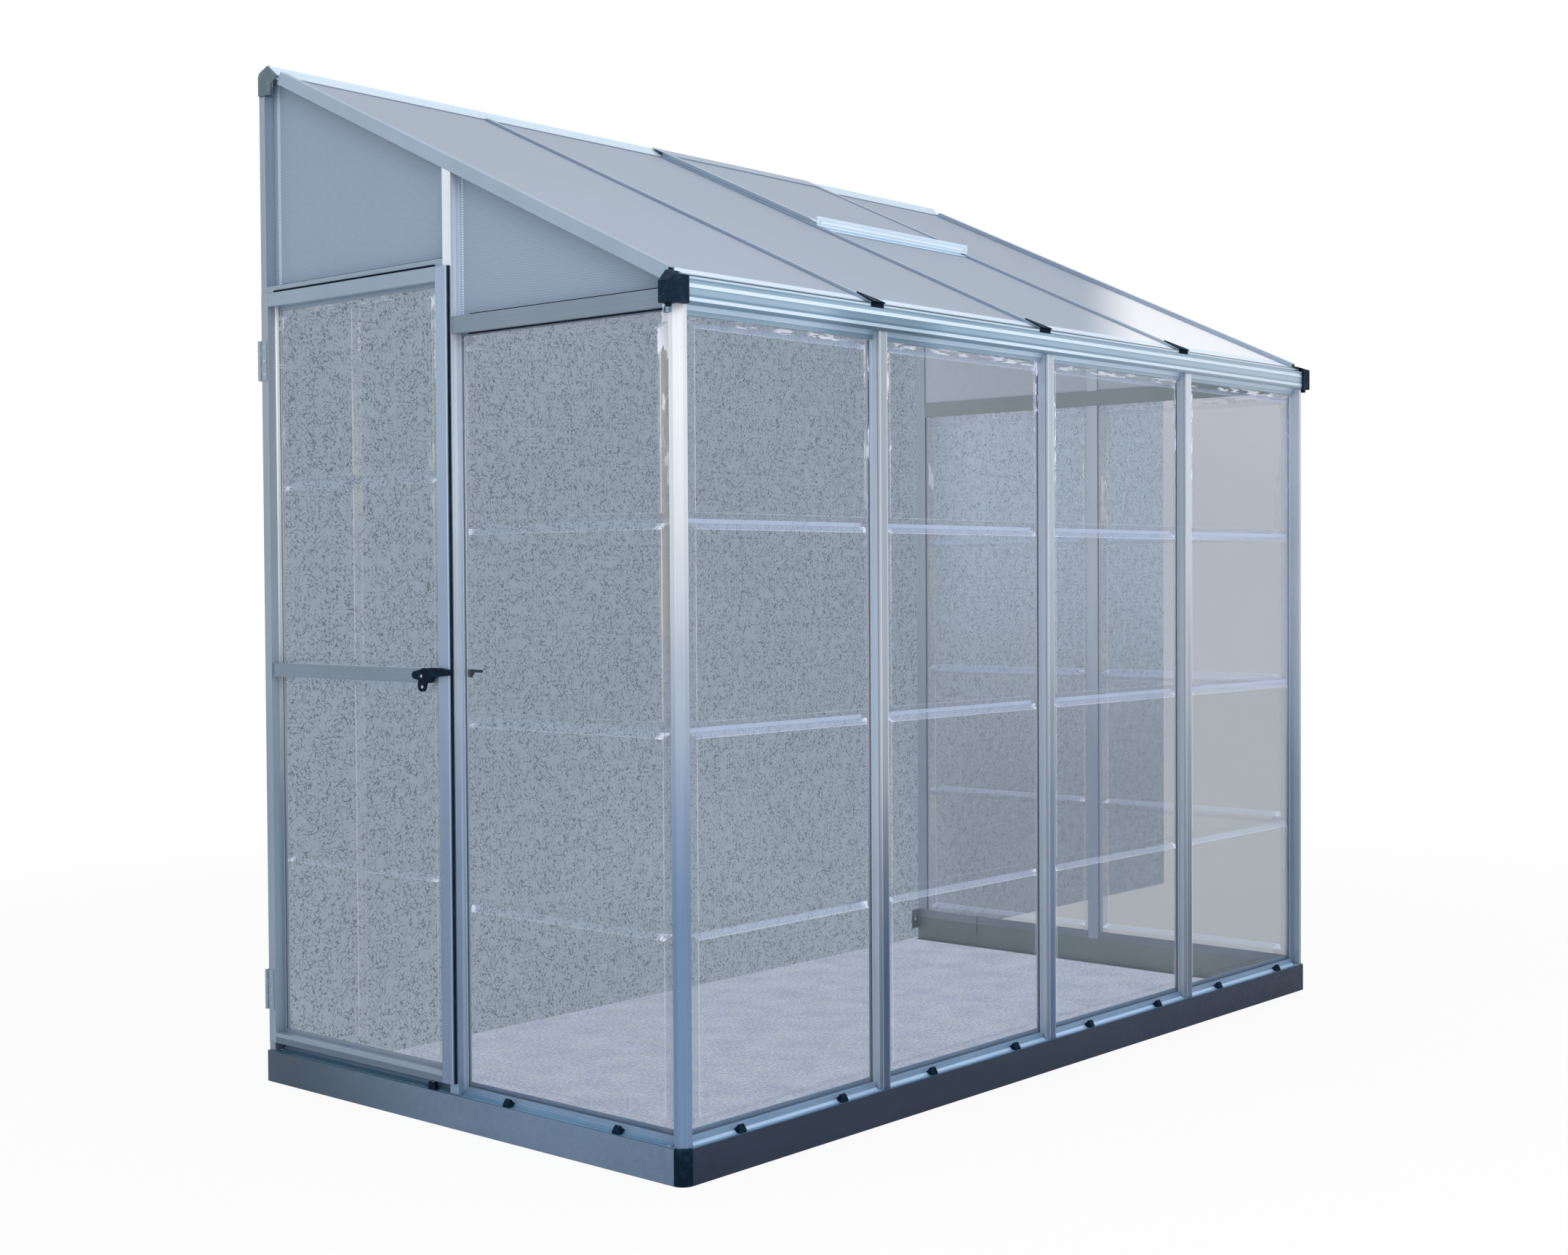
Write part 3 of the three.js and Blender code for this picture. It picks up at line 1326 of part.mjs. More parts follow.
// Latch: a lobed lever outside, a spindle through the door and a round knob inside
function make_latch() {
  const lever_back = door_front - lever_stand;
  const lever_front = lever_back - lever_wall;
  const bosses = lever_boss_shares.map((boss) => boss.map((share) => share * lever_length));
  const place = across_from(lever_front);
  const round = ([y, z, radius]) => extrude(circle(latch_line + y, latch_height + z, radius), lever_wall, place);
  const link = ([a, b]) => {
    const [ya, za, ra] = bosses[a];
    const [yb, zb, rb] = bosses[b];
    const way = new THREE.Vector2(yb - ya, zb - za).normalize();
    const outline = [
      [ya - way.y * ra, za + way.x * ra],
      [ya + way.y * ra, za - way.x * ra],
      [yb + way.y * rb, zb - way.x * rb],
      [yb - way.y * rb, zb + way.x * rb],
    ];
    return extrude(outline.map(([y, z]) => [latch_line + y, latch_height + z]), lever_wall, place);
  };
  let lever = join([...bosses.map(round), ...lever_link_shares.map(link)]);
  for (const hole of lever_hole_shares) {
    lever = lever.subtract(round(hole.map((share) => share * lever_length)));
  }
  const hub_run = middle_rail_front - gap - lever_back;
  const hub = extrude(circle(latch_line, latch_height, hub_radius), hub_run + lever_wall / 2,
    across_from(lever_back - lever_wall / 2));
  const knob_start = door_back + lever_stand;
  const spindle = extrude(circle(latch_line, latch_height, spindle_radius), knob_start - lever_back + knob_wall / 2,
    across_from(lever_back));
  const knob = extrude(circle(latch_line, latch_height, knob_radius), knob_wall, across_from(knob_start));
  add('latch_handle', join([lever, hub, spindle, knob]), 'black_plastic');
}

// Fixed keeper behind the middle post: a plate on its inner flange with a thin bar running forward
function make_latch_keeper() {
  const start = flange_back + gap;
  const post_far = side_post_line + side_post_half;
  const bar_start = side_post_line - keeper_reach;
  const lobe_start = side_post_line - keeper_lobe_reach;
  const half = keeper_bar / 2;
  const outline = [
    [bar_start, keeper_height - half / 2],
    [bar_start + half, keeper_height + half],
    [post_far, keeper_height + half],
    [post_far, keeper_height + half - keeper_lobe],
    [lobe_start + half, keeper_height + half - keeper_lobe],
    [lobe_start - half, keeper_height - half],
    [bar_start + half, keeper_height - half],
  ];
  add('latch_keeper', extrude(outline, keeper_wall, across_from(start)), 'black_plastic');
}

// Small stop on the ledge under the door
function make_door_bumper() {
  const low = base_height + gap;
  const half = bumper_length / 2;
  const high = low + bumper_height;
  const front_view = [
    [bumper_line - half, low],
    [bumper_line + half, low],
    [bumper_line + half, high - bumper_bevel],
    [bumper_line + half - bumper_bevel, high],
    [bumper_line - half + bumper_bevel, high],
    [bumper_line - half, high - bumper_bevel],
  ];
  add('door_bumper', extrude(front_view, bumper_width, across_from(base_wall)), 'black_plastic');
}

make_front_rail();
make_side_rails();
make_base_corners();
make_front_posts();
make_side_posts();
make_wall_posts();
make_headers();
make_gutter();
make_gutter_caps();
make_rafters();
make_rafter_clips();
make_rakes();
make_ridge();
make_roof_sheets();
make_gable_sheets();
make_front_panels();
make_side_panels();
make_vent_frame();
make_vent_bottom_bar();
make_vent_sheet();
make_vent_stay();
make_vent_sill();
make_door_stiles();
make_door_rails();
make_door_panel();
make_latch();
make_latch_keeper();
make_door_bumper();

// The origin is under the middle of the whole greenhouse, on the ground
group.position.set(-length / 2, (gutter_cap_front - depth) / 2, 0);
const greenhouse = new THREE.Group();
greenhouse.add(group);

export default greenhouse;
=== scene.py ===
"""Looks of a lean-to greenhouse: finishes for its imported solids, and its clips, seals and screws."""

import math

import bpy
import numpy as np
from bpy.props import FloatProperty, FloatVectorProperty, PointerProperty
from mathutils import Matrix, Vector


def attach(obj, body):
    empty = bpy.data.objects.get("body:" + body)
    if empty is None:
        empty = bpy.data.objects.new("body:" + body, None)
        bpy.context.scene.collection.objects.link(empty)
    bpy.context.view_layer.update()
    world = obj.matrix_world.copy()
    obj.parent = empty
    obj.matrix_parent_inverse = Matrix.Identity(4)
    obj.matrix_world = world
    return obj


bl_info = {
    "name": "Lean-to greenhouse",
    "version": (1, 0, 0),
    "blender": (4, 5, 0),
    "location": "View3D > Sidebar > Greenhouse",
    "description": "Dresses the packed greenhouse with its finishes, clips, seals and screws",
    "category": "Object",
}

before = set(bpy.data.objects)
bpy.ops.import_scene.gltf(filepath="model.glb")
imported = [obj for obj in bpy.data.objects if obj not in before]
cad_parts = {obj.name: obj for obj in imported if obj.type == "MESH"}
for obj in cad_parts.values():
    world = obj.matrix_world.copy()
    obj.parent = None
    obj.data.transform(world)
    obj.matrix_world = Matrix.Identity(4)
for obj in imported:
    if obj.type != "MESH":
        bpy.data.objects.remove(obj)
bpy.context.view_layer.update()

MM = 0.001
CORNER = np.array([-1.210, -0.642, 0.0])
LENGTH = 2420.0
BAY = LENGTH / 4.0
LEDGE_HEIGHT = 69.0
SHEET_PITCH = 5.0 * MM
TRAY_DEPTH = 3.0 * MM
SOFT_ANGLE = math.radians(40.0)


def place(x, y, z):
    """A point given in millimetres from the front left corner of the base, in the model's metres."""
    return CORNER + MM * np.array([x, y, z], float)


def mark(axis, distance):
    """One coordinate given in millimetres from that corner, in the model's metres."""
    return CORNER[axis] + distance * MM


# Shader maths


class Field:
    """A value that varies over a surface. The plain signs add its Math nodes."""

    def __init__(self, finish, socket):
        self.finish = finish
        self.socket = socket

    def __add__(self, other):
        return self.finish.math("ADD", self, other)

    def __radd__(self, other):
        return self.finish.math("ADD", other, self)

    def __sub__(self, other):
        return self.finish.math("SUBTRACT", self, other)

    def __rsub__(self, other):
        return self.finish.math("SUBTRACT", other, self)

    def __mul__(self, other):
        return self.finish.math("MULTIPLY", self, other)

    def __rmul__(self, other):
        return self.finish.math("MULTIPLY", other, self)

    def __truediv__(self, other):
        return self.finish.math("DIVIDE", self, other)

    def __pow__(self, other):
        return self.finish.math("POWER", self, other)

    def __gt__(self, other):
        return self.finish.math("GREATER_THAN", self, other)

    def __lt__(self, other):
        return self.finish.math("LESS_THAN", self, other)


class Finish:
    """A node tree, of a material or the world, that is built by expressions."""

    def __init__(self, holder):
        holder.use_nodes = True
        self.holder = holder
        self.tree = holder.node_tree
        self.tree.nodes.clear()

    @classmethod
    def material(cls, name):
        return cls(bpy.data.materials.new(name))

    def node(self, kind, settings, inputs):
        """Adds a node, sets it, and fills its sockets with numbers, colours or links."""
        made = self.tree.nodes.new(kind)
        for key, value in settings.items():
            setattr(made, key, value)
        for key, value in inputs.items():
            socket = made.inputs[key]
            if isinstance(value, Field):
                self.tree.links.new(value.socket, socket)
            elif isinstance(value, bpy.types.NodeSocket):
                self.tree.links.new(value, socket)
            elif socket.type == "RGBA":
                socket.default_value = (*value, 1.0)
            else:
                socket.default_value = value
        return made

    def math(self, operation, *values):
        made = self.node("ShaderNodeMath", {"operation": operation}, dict(enumerate(values)))
        return Field(self, made.outputs[0])

    def clamp(self, value, low=0.0, high=1.0):
        made = self.node("ShaderNodeClamp", {}, {"Value": value, "Min": low, "Max": high})
        return Field(self, made.outputs[0])

    def ramp(self, value, low, high):
        """Rises smoothly from 0 at low to 1 at high."""
        settings = {"interpolation_type": "SMOOTHSTEP"}
        inputs = {"Value": value, "From Min": low, "From Max": high}
        made = self.node("ShaderNodeMapRange", settings, inputs)
        return Field(self, made.outputs[0])

    def window(self, value, low, high, soft):
        """1 between low and high, falling to 0 over the soft width outside them."""
        return self.ramp(value, low - soft, low) * (1.0 - self.ramp(value, high, high + soft))

    def blend(self, factor, first, second):
        """The first colour where the factor is 0 and the second where it is 1."""
        made = self.node("ShaderNodeMix", {"data_type": "RGBA"}, {0: factor, 6: first, 7: second})
        return made.outputs[2]

    def times(self, colour, share):
        """The colour scaled by a share that varies over the surface."""
        made = self.node("ShaderNodeVectorMath", {"operation": "SCALE"}, {"Vector": colour, "Scale": share})
        return made.outputs[0]

    def coordinates(self):
        return self.node("ShaderNodeTexCoord", {}, {})

    def axes(self, vector):
        made = self.node("ShaderNodeSeparateXYZ", {}, {0: vector})
        return [Field(self, made.outputs[i]) for i in range(3)]

    def noise(self, scales, detail=3.0, roughness=0.55, turn=(0.0, 0.0, 0.0)):
        """Noise whose grain per metre is given for each axis, after the space is turned."""
        source = self.coordinates().outputs["Object"]
        turned = self.node("ShaderNodeVectorRotate", {"rotation_type": "EULER_XYZ"},
                           {"Vector": source, "Rotation": turn})
        mapping = self.node("ShaderNodeMapping", {"vector_type": "POINT"},
                            {"Vector": turned.outputs[0], "Scale": scales})
        inputs = {"Vector": mapping.outputs[0], "Scale": 1.0, "Detail": detail, "Roughness": roughness}
        made = self.node("ShaderNodeTexNoise", {"noise_dimensions": "3D"}, inputs)
        return Field(self, made.outputs[0])

    def cells(self, scale):
        """A flat random tone for each cell of a broken pattern."""
        source = self.coordinates().outputs["Object"]
        made = self.node("ShaderNodeTexVoronoi", {"feature": "F1"}, {"Vector": source, "Scale": scale})
        tone = self.node("ShaderNodeSeparateColor", {}, {0: made.outputs["Color"]})
        return Field(self, tone.outputs[0])

    def bump(self, height, strength, distance):
        inputs = {"Height": height, "Strength": strength, "Distance": distance}
        return self.node("ShaderNodeBump", {}, inputs).outputs[0]

    def surface(self, **sockets):
        """The shader that makes the surface. Names are the sockets' own, with low lines for spaces."""
        named = {key.replace("_", " "): value for key, value in sockets.items()}
        return self.node("ShaderNodeBsdfPrincipled", {}, named).outputs[0]

    def finish(self, shader):
        self.node("ShaderNodeOutputMaterial", {}, {"Surface": shader})
        return self.holder


# Finishes

DIE_GRAIN = 700.0
DIE_LENGTH = 2.5
UPRIGHT = ((DIE_GRAIN, DIE_GRAIN, DIE_LENGTH), (0.0, 0.0, 0.0))
LENGTHWISE = ((DIE_LENGTH, DIE_GRAIN, DIE_GRAIN), (0.0, 0.0, 0.0))
CROSSWISE = ((DIE_GRAIN, DIE_LENGTH, DIE_GRAIN), (0.0, 0.0, 0.0))
ROOF_RISE = 2254.0 - 1670.0
ROOF_DEPTH = 1290.0 - 24.0
ROOF_PITCH = math.atan2(ROOF_RISE, ROOF_DEPTH)
SLOPING = ((DIE_GRAIN, DIE_LENGTH, DIE_GRAIN), (-ROOF_PITCH, 0.0, 0.0))

# The stretch of the eave bar darkened by a painted reflection of something dark: its millimetres of x, how
# far it fades, the height up to which it reaches, and its share
EAVE_DIM = (540.0, 680.0, 160.0, 1644.0, 0.45)

# The ledge of the base, in millimetres inward: the edge brightens out of a painted shade, the ledge takes
# the knee's tone, painted light, a groove with painted shade runs along it and the lip rises into the
# slot's painted shade
LEDGE_EDGE = (3.5, 6.5)
LEDGE_KNEE = (8.0, 13.0)
LEDGE_GROOVE = (13.0, 14.0)
LEDGE_LIP = (19.5, 21.0)
# Painted shade in the slot behind the ledge
SLOT_SHADE = (0.17, 0.19, 0.27)

# The metres of y over which a side rail of the base dims with painted shade, and those of x over which the
# eave bar greys with a painted reflection
SIDE_DIM = (-0.05, 0.62)
EAVE_GREY = (-0.2, 1.0)

# Heights in metres over which the painted light on a clear panel comes in or, for the last of the furrows,
# goes: painted streaks, glints, the cream reflection, the light at the cream's top, the furrows' painted
# sheen, and the light along the top edge
STREAK_RISE = (1.0, 1.55)
GLINT_RISE = (1.1, 1.5)
CREAM_RISE = (0.75, 1.15)
CREAM_TOP = (1.53, 1.545)
FURROW_RISE = (0.6, 0.8)
FURROW_FALL = (1.5, 1.56)
TOP_EDGE = (1.583, 1.588)

# How much further along x a reflection on the roof starts for each metre toward the house
ROOF_SLANT = 1.55


def scaled(colour, share):
    return tuple(share * v for v in colour)


def aluminium(name, grain, ground, sky, low=0.5, high=1.42, painted_strips=()):
    """Mill aluminium: die lines along the bar over slow clouds of tone, under a painted reflection. It
    takes the painted tone of the dim ground up to the low height in metres, and that of the bright sky
    above the high one. Each strip, a painted highlight or painted shade, is an axis, its lowest and highest
    millimetre from the corner, a colour, and its share low and high up."""
    f = Finish.material(name)
    lines = f.noise(grain[0], detail=2.0, turn=grain[1])
    clouds = f.noise((5.0, 5.0, 2.0), detail=4.0)
    spots = f.axes(f.coordinates().outputs["Object"])
    # Painted reflection: the share of the sky's tone rises with height
    lit = f.ramp(spots[2] + 0.25 * (clouds - 0.5), low, high)
    tone = f.clamp(lines + 0.9 * clouds - 0.45)
    base = f.blend(tone, f.blend(lit, scaled(ground, 0.8), scaled(sky, 0.84)),
                   f.blend(lit, scaled(ground, 1.22), scaled(sky, 1.12)))
    # Painted highlights and painted shade in strips along the bar
    for axis, start, end, colour, share_low, share_high in painted_strips:
        inside = f.window(spots[axis], mark(axis, start), mark(axis, end), 0.8 * MM)
        share = share_low + (share_high - share_low) * lit
        base = f.blend(inside * share * (0.8 + 0.4 * clouds), base, colour)
    shader = f.surface(Base_Color=base, Metallic=0.5, Roughness=0.3 + 0.2 * lines,
                       Specular_IOR_Level=0.3, Normal=f.bump(lines, 0.12, 0.0004))
    return f.finish(shader)


def banded(name, grain, dark, bright, bands, deep=(), far=0.0):
    """Aluminium whose moulded front takes a bright or a dark tone in each band of its height: painted
    highlights and painted shade. A band is its lowest and highest millimetre and the share of the bright
    tone there. The deep bands, if any, are those of the parts behind the front; such a bar is dimmer along
    its second quarter, a painted reflection of something dark. Far along x, a painted reflection greys it
    by the far share."""
    f = Finish.material(name)
    lines = f.noise(grain[0], detail=2.0, turn=grain[1])
    clouds = f.noise((2.2, 2.2, 2.2), detail=4.0)
    along, back, height = f.axes(f.coordinates().outputs["Object"])
    tone = 0.22 * (lines - 0.5) + 0.35 * (clouds - 0.5)
    if deep:
        first, last, soft, top, share = EAVE_DIM
        # Painted reflection of something dark dims this stretch
        dim = f.window(along, mark(0, first), mark(0, last), soft * MM)
        tone = tone - share * dim * (1.0 - f.ramp(height, top * MM, (top + 3.0) * MM))
    behind = f.ramp(back, mark(1, 12.0), mark(1, 14.0))
    front = 1.0 - behind if deep else 1.0
    for low, high, share in bands:
        tone = tone + share * front * f.window(height, low * MM, high * MM, 0.6 * MM)
    for low, high, share in deep:
        tone = tone + share * behind * f.window(height, low * MM, high * MM, 0.6 * MM)
    base = f.blend(f.clamp(tone), dark, bright)
    # Painted shade where a band's share is below zero
    base = f.blend(f.clamp(-1.0 * tone), base, scaled(dark, 0.3))
    # Painted reflection: the bar greys far along x
    base = f.blend(far * f.ramp(along, *EAVE_GREY), base, (0.62, 0.67, 0.72))
    shader = f.surface(Base_Color=base, Metallic=0.4, Roughness=0.3 + 0.2 * lines,
                       Specular_IOR_Level=0.3, Normal=f.bump(lines, 0.12, 0.0004))
    return f.finish(shader)


def galvanised(name, face, spangle, ledge, knee, axis, far_end):
    """Galvanised steel: spangle cells on its upright faces, a streaked sheen on its ledges, real streaks
    under painted light that is stronger on upward faces, that turns into the knee's painted tone inward
    along the axis, with painted shade at its edge, in its groove and behind its lip, and a side that dims
    with painted shade toward the house to the far end's share."""
    f = Finish.material(name)
    cells = f.cells(120.0)
    clouds = f.noise((4.0, 4.0, 9.0), detail=5.0)
    grain = f.noise((520.0, 520.0, 520.0), detail=2.0)
    spots = f.axes(f.coordinates().outputs["Object"])
    _, back, height = spots
    tone = f.clamp(0.3 * cells + 0.8 * clouds + 0.4 * grain - 0.3)
    side = f.blend(tone, face, spangle)
    # Painted shade: a dimmer copy of the side's tones toward the house
    dimmed = f.blend(tone, scaled(face, far_end), scaled(spangle, far_end))
    side = f.blend(f.ramp(back, *SIDE_DIM), side, dimmed)
    streaks = f.noise((6.0, 6.0, 900.0), detail=3.0)
    up = f.axes(f.coordinates().outputs["Normal"])[2]
    slow = f.noise((1.3, 1.3, 1.3), detail=2.0)
    edge, bend, groove, lip = [[mark(axis, v) for v in stretch]
                               for stretch in (LEDGE_EDGE, LEDGE_KNEE, LEDGE_GROOVE, LEDGE_LIP)]
    # Painted light and shade: the ledge takes the knee's tone inward
    inward = f.ramp(spots[axis] + 9.0 * MM * (slow - 0.5), *bend)
    # Painted shade at the ledge's edge and in its groove
    light = 0.4 + 0.6 * f.ramp(spots[axis], *edge)
    light = light - 0.3 * f.window(spots[axis], *groove, 0.8 * MM)
    ground = f.times(f.blend(inward, ledge, knee), light)
    # Painted shade in the slot past the lip
    ground = f.blend(f.ramp(spots[axis], *lip), ground, f.blend(0.5, SLOT_SHADE, ledge))
    # Real streaks, with painted light that is stronger on upward faces
    sheen = f.times(ground, 0.6 + 0.8 * f.clamp(0.8 * streaks + 0.6 * clouds - 0.25 + 0.2 * up))
    base = f.blend(f.ramp(height, (LEDGE_HEIGHT - 0.3) * MM, LEDGE_HEIGHT * MM), side, sheen)
    shader = f.surface(Base_Color=base, Metallic=0.4, Roughness=0.36 + 0.2 * cells,
                       Specular_IOR_Level=0.25, Normal=f.bump(grain + 0.5 * cells, 0.1, 0.0003))
    return f.finish(shader)


def moulded(name, colour, bloom_and_sheen):
    """Moulded plastic: a fine spark-eroded grain, a faint chalky bloom, and upward faces made paler
    by a painted highlight.
    """
    f = Finish.material(name)
    grain = f.noise((1300.0, 1300.0, 1300.0), detail=2.0)
    bloom = f.noise((60.0, 60.0, 60.0), detail=4.0)
    up = f.axes(f.coordinates().outputs["Normal"])[2]
    # The chalky bloom, and a painted highlight on upward faces
    base = f.blend(f.clamp(f.ramp(bloom, 0.45, 0.8) + 0.4 * f.ramp(up, 0.1, 0.8)), colour, bloom_and_sheen)
    shader = f.surface(Base_Color=base, Roughness=0.5 + 0.16 * grain, Specular_IOR_Level=0.04,
                       Normal=f.bump(grain, 0.25, 0.0002))
    return f.finish(shader)


def twin_wall(name, axis, colour, pale, fade=None, ends=()):
    """Twin-wall sheet: the webs between its two skins show as fine stripes at an even pitch. A painted
    highlight makes them shine at the sheet's ends, whose lowest and highest millimetre of y are given with
    the plain and the webs' share. A fade is a stretch of x, slanted toward the house, where a painted
    reflection turns the sheet pale."""
    f = Finish.material(name)
    spots = f.axes(f.coordinates().outputs["Object"])
    phase = spots[axis] * (math.tau / SHEET_PITCH)
    web = f.clamp(0.5 + 0.5 * f.math("COSINE", phase)) ** 4.0
    clouds = f.noise((1.6, 1.6, 1.6), detail=3.0)
    specks = f.noise((240.0, 240.0, 240.0), detail=3.0)
    tone = f.clamp(0.5 * clouds + 0.6 * specks + 0.35 * web - 0.26)
    base = f.blend(tone, colour, pale)
    if fade is not None:
        # Painted reflection: the roof turns pale over the fade
        base = f.blend(f.ramp(spots[0] - ROOF_SLANT * spots[1], *fade), base, (0.90, 0.93, 0.98))
    # Painted highlight on the webs at the sheet's ends
    for low, high, flat, webbed in ends:
        lit = f.window(spots[1], mark(1, low), mark(1, high), 2.0 * MM)
        base = f.blend((flat + webbed * web) * lit, base, (0.70, 0.84, 1.0))
    shader = f.surface(Base_Color=base, Roughness=0.4 + 0.15 * specks,
                       Alpha=f.clamp(TWIN_OPACITY + 0.05 * web), IOR=1.5, Specular_IOR_Level=0.22,
                       Normal=f.bump(web, 0.25, 0.0003))
    return f.finish(shader)


def clear_sheet(name, axis, crest, plate, start, half, tint, sheens, glint_share, dull, creamy=None):
    """Clear pressed sheet. Its trays rise along the axis from the plate level to the crest, and along the
    wall its uprights repeat from the start at twice the half width. Haze covers all of it, a painted line
    of light runs along each crest, and the sheens are painted milky light on the sides, tops and feet of
    its trays, on its border and in its grooves. The third argument from the end is the share of painted
    glints, broken light on its border high up, dull its least haze, and the creamy stretch of its border is
    a painted reflection of something pale."""
    f = Finish.material(name)
    spots = f.axes(f.coordinates().outputs["Object"])
    normal = f.axes(f.coordinates().outputs["Normal"])
    along = 1 - axis
    sides, tops, feet, border, groove = sheens
    slope = 1.0 - f.ramp(f.math("ABSOLUTE", normal[axis]), 0.75, 0.97)
    level = (spots[axis] - crest) / (plate - crest)
    upright = slope * f.ramp(f.math("ABSOLUTE", normal[along]), 0.3, 0.5)
    over = slope * f.ramp(normal[2], 0.3, 0.5)
    under = slope * f.ramp(-1.0 * normal[2], 0.3, 0.5)
    line = slope * (1.0 - f.ramp(level, 0.06, 0.2))
    valley = (1.0 - slope) * f.ramp(level, 0.8, 0.95)
    reach = f.math("PINGPONG", spots[along] - start, half)
    near = 1.0 - f.ramp(reach, 40.0 * MM, 48.0 * MM)
    haze = f.noise((7.0, 7.0, 7.0), detail=4.0)
    ripple = f.noise((26.0, 26.0, 9.0), detail=3.0)
    sheen_grain = f.noise((95.0, 95.0, 120.0), detail=3.0)
    sheen_flecks = f.noise((60.0, 60.0, 15.0), detail=3.0)
    # Painted highlights: streaks, glints at the tray ends, glints high up and light along the top edge
    streak = f.ramp(ripple, 0.56, 0.62) * f.ramp(spots[2], *STREAK_RISE)
    tips = over * (1.0 - f.ramp(reach, 32.0 * MM, 58.0 * MM)) * f.ramp(sheen_grain, 0.44, 0.52)
    patches = f.ramp(f.noise((5.0, 5.0, 5.0), detail=2.0), 0.42, 0.52)
    ragged = f.noise((24.0, 24.0, 150.0), detail=4.0)
    top_edge = f.ramp(spots[2], *TOP_EDGE) * patches * f.ramp(ragged, 0.5, 0.54)
    glints = near * f.ramp(sheen_flecks, 0.59, 0.62) * f.ramp(spots[2], *GLINT_RISE)
    # All the painted glints and streaks
    bright = f.clamp(upright * near * streak + 0.8 * tips + glint_share * (valley * top_edge + glints))
    cream = 0.0
    # Painted reflection of something pale on the creamy strip, with a painted highlight at its top
    if creamy is not None:
        strip = f.window(spots[along] + 0.008 * (sheen_grain - 0.5), *creamy, 3.0 * MM)
        cream = 0.27 * strip * f.ramp(spots[2], *CREAM_RISE) * (0.4 + 1.2 * haze)
        bright = f.clamp(bright + strip * f.ramp(spots[2] + 0.2 * (sheen_flecks - 0.5), *CREAM_TOP))
    # Painted milky light on the feet, stronger higher up
    feet = feet + feet * f.ramp(spots[2], 0.5, 0.8)
    # Painted sheen in the grooves
    furrow = valley * (1.0 - near) * f.ramp(spots[2], *FURROW_RISE)
    furrow = furrow * (1.0 - f.ramp(spots[2], *FURROW_FALL))
    # Painted milky light on the sides, tops, feet, border, grooves and crests
    milky = (sides * upright + tops * over + feet * under + border * valley * near + groove * furrow
             + 0.11 * line)
    alpha = f.clamp(dull + 0.05 * haze + milky * (0.6 + 0.8 * haze) + cream + 0.85 * bright)
    # Painted reflection: a warm tone on the upright bevels and the creamy strip
    warm = f.blend(f.ramp(f.noise((3.0, 3.0, 2.0), detail=2.0), 0.5, 0.7) * upright, tint,
                   (0.56, 0.54, 0.44))
    warm = f.blend(f.clamp(3.0 * cream), warm, (0.52, 0.51, 0.43))
    # Painted glints, and a painted lavender reflection on upward bevels and in the grooves
    base = f.blend(f.clamp(bright + line), f.blend(f.clamp(over + furrow), warm, (0.52, 0.62, 0.84)), GLINT)
    shader = f.surface(Base_Color=base, Roughness=0.1 + 0.1 * haze, Alpha=alpha, IOR=1.5,
                       Specular_IOR_Level=0.3, Normal=f.bump(ripple, 0.08, 0.002))
    return f.finish(shader)


# New pieces


def between(rings, count, back=False):
    """The four-sided faces between each ring of points and the next, wound the other way if back."""
    i, j = np.meshgrid(np.arange(rings - 1), np.arange(count), indexing="ij")
    a, b = i * count + j, i * count + (j + 1) % count
    corners = [a, a + count, b + count, b] if back else [a, b, b + count, a + count]
    return np.stack(corners, axis=-1).reshape(-1, 4).tolist()


def sweep(profile, stations, widths):
    """Carries a closed profile sideways. Point j of station i is at (widths[i] times the half width of
    point j, profile[j]); the two end stations are closed by one face each."""
    depth_up = profile[:, :2]
    half = profile[:, 2]
    count = len(profile)
    across = stations[:, None] * half[None, :]
    middle = depth_up.mean(axis=0)
    shaped = middle + (depth_up - middle)[None, :, :] * widths[:, None, None]
    points = np.dstack([across, shaped[:, :, 0], shaped[:, :, 1]]).reshape(-1, 3)
    faces = between(len(stations), count)
    last = (len(stations) - 1) * count
    faces.append(list(range(count))[::-1])
    faces.append(list(range(last, last + count)))
    return points, faces


def head(radius, height, slot_half, rings=7, sides=32):
    """A screw head. At radius r and angle a its height is height * sqrt(1 - 0.8 (r / radius)^2), less a
    cross-shaped recess of the given half width, and a straight rim closes it down to the surface."""
    r = radius * np.sqrt(np.linspace(0.0, 1.0, rings))[1:]
    a = np.linspace(0.0, math.tau, sides, endpoint=False)
    rr, aa = np.meshgrid(r, a, indexing="ij")
    x, y = rr * np.cos(aa), rr * np.sin(aa)
    z = height * np.sqrt(1.0 - 0.8 * (rr / radius) ** 2)
    arm = (np.minimum(abs(x), abs(y)) < slot_half) & (rr < 0.7 * radius)
    z = np.where(arm, 0.35 * z, z)
    crown = np.stack([x, y, z], axis=-1).reshape(-1, 3)
    rim = np.stack([x[-1], y[-1], np.zeros(sides)], axis=-1)
    points = np.vstack([crown, rim, [[0.0, 0.0, 0.35 * height], [0.0, 0.0, 0.0]]])
    faces = between(rings, sides, back=True)
    top, foot, base = rings * sides, rings * sides + 1, (rings - 1) * sides
    ring = np.arange(sides)
    after = (ring + 1) % sides
    faces += np.stack([np.full(sides, top), ring, after], axis=-1).tolist()
    faces += np.stack([np.full(sides, foot), base + after, base + ring], axis=-1).tolist()
    return points, faces


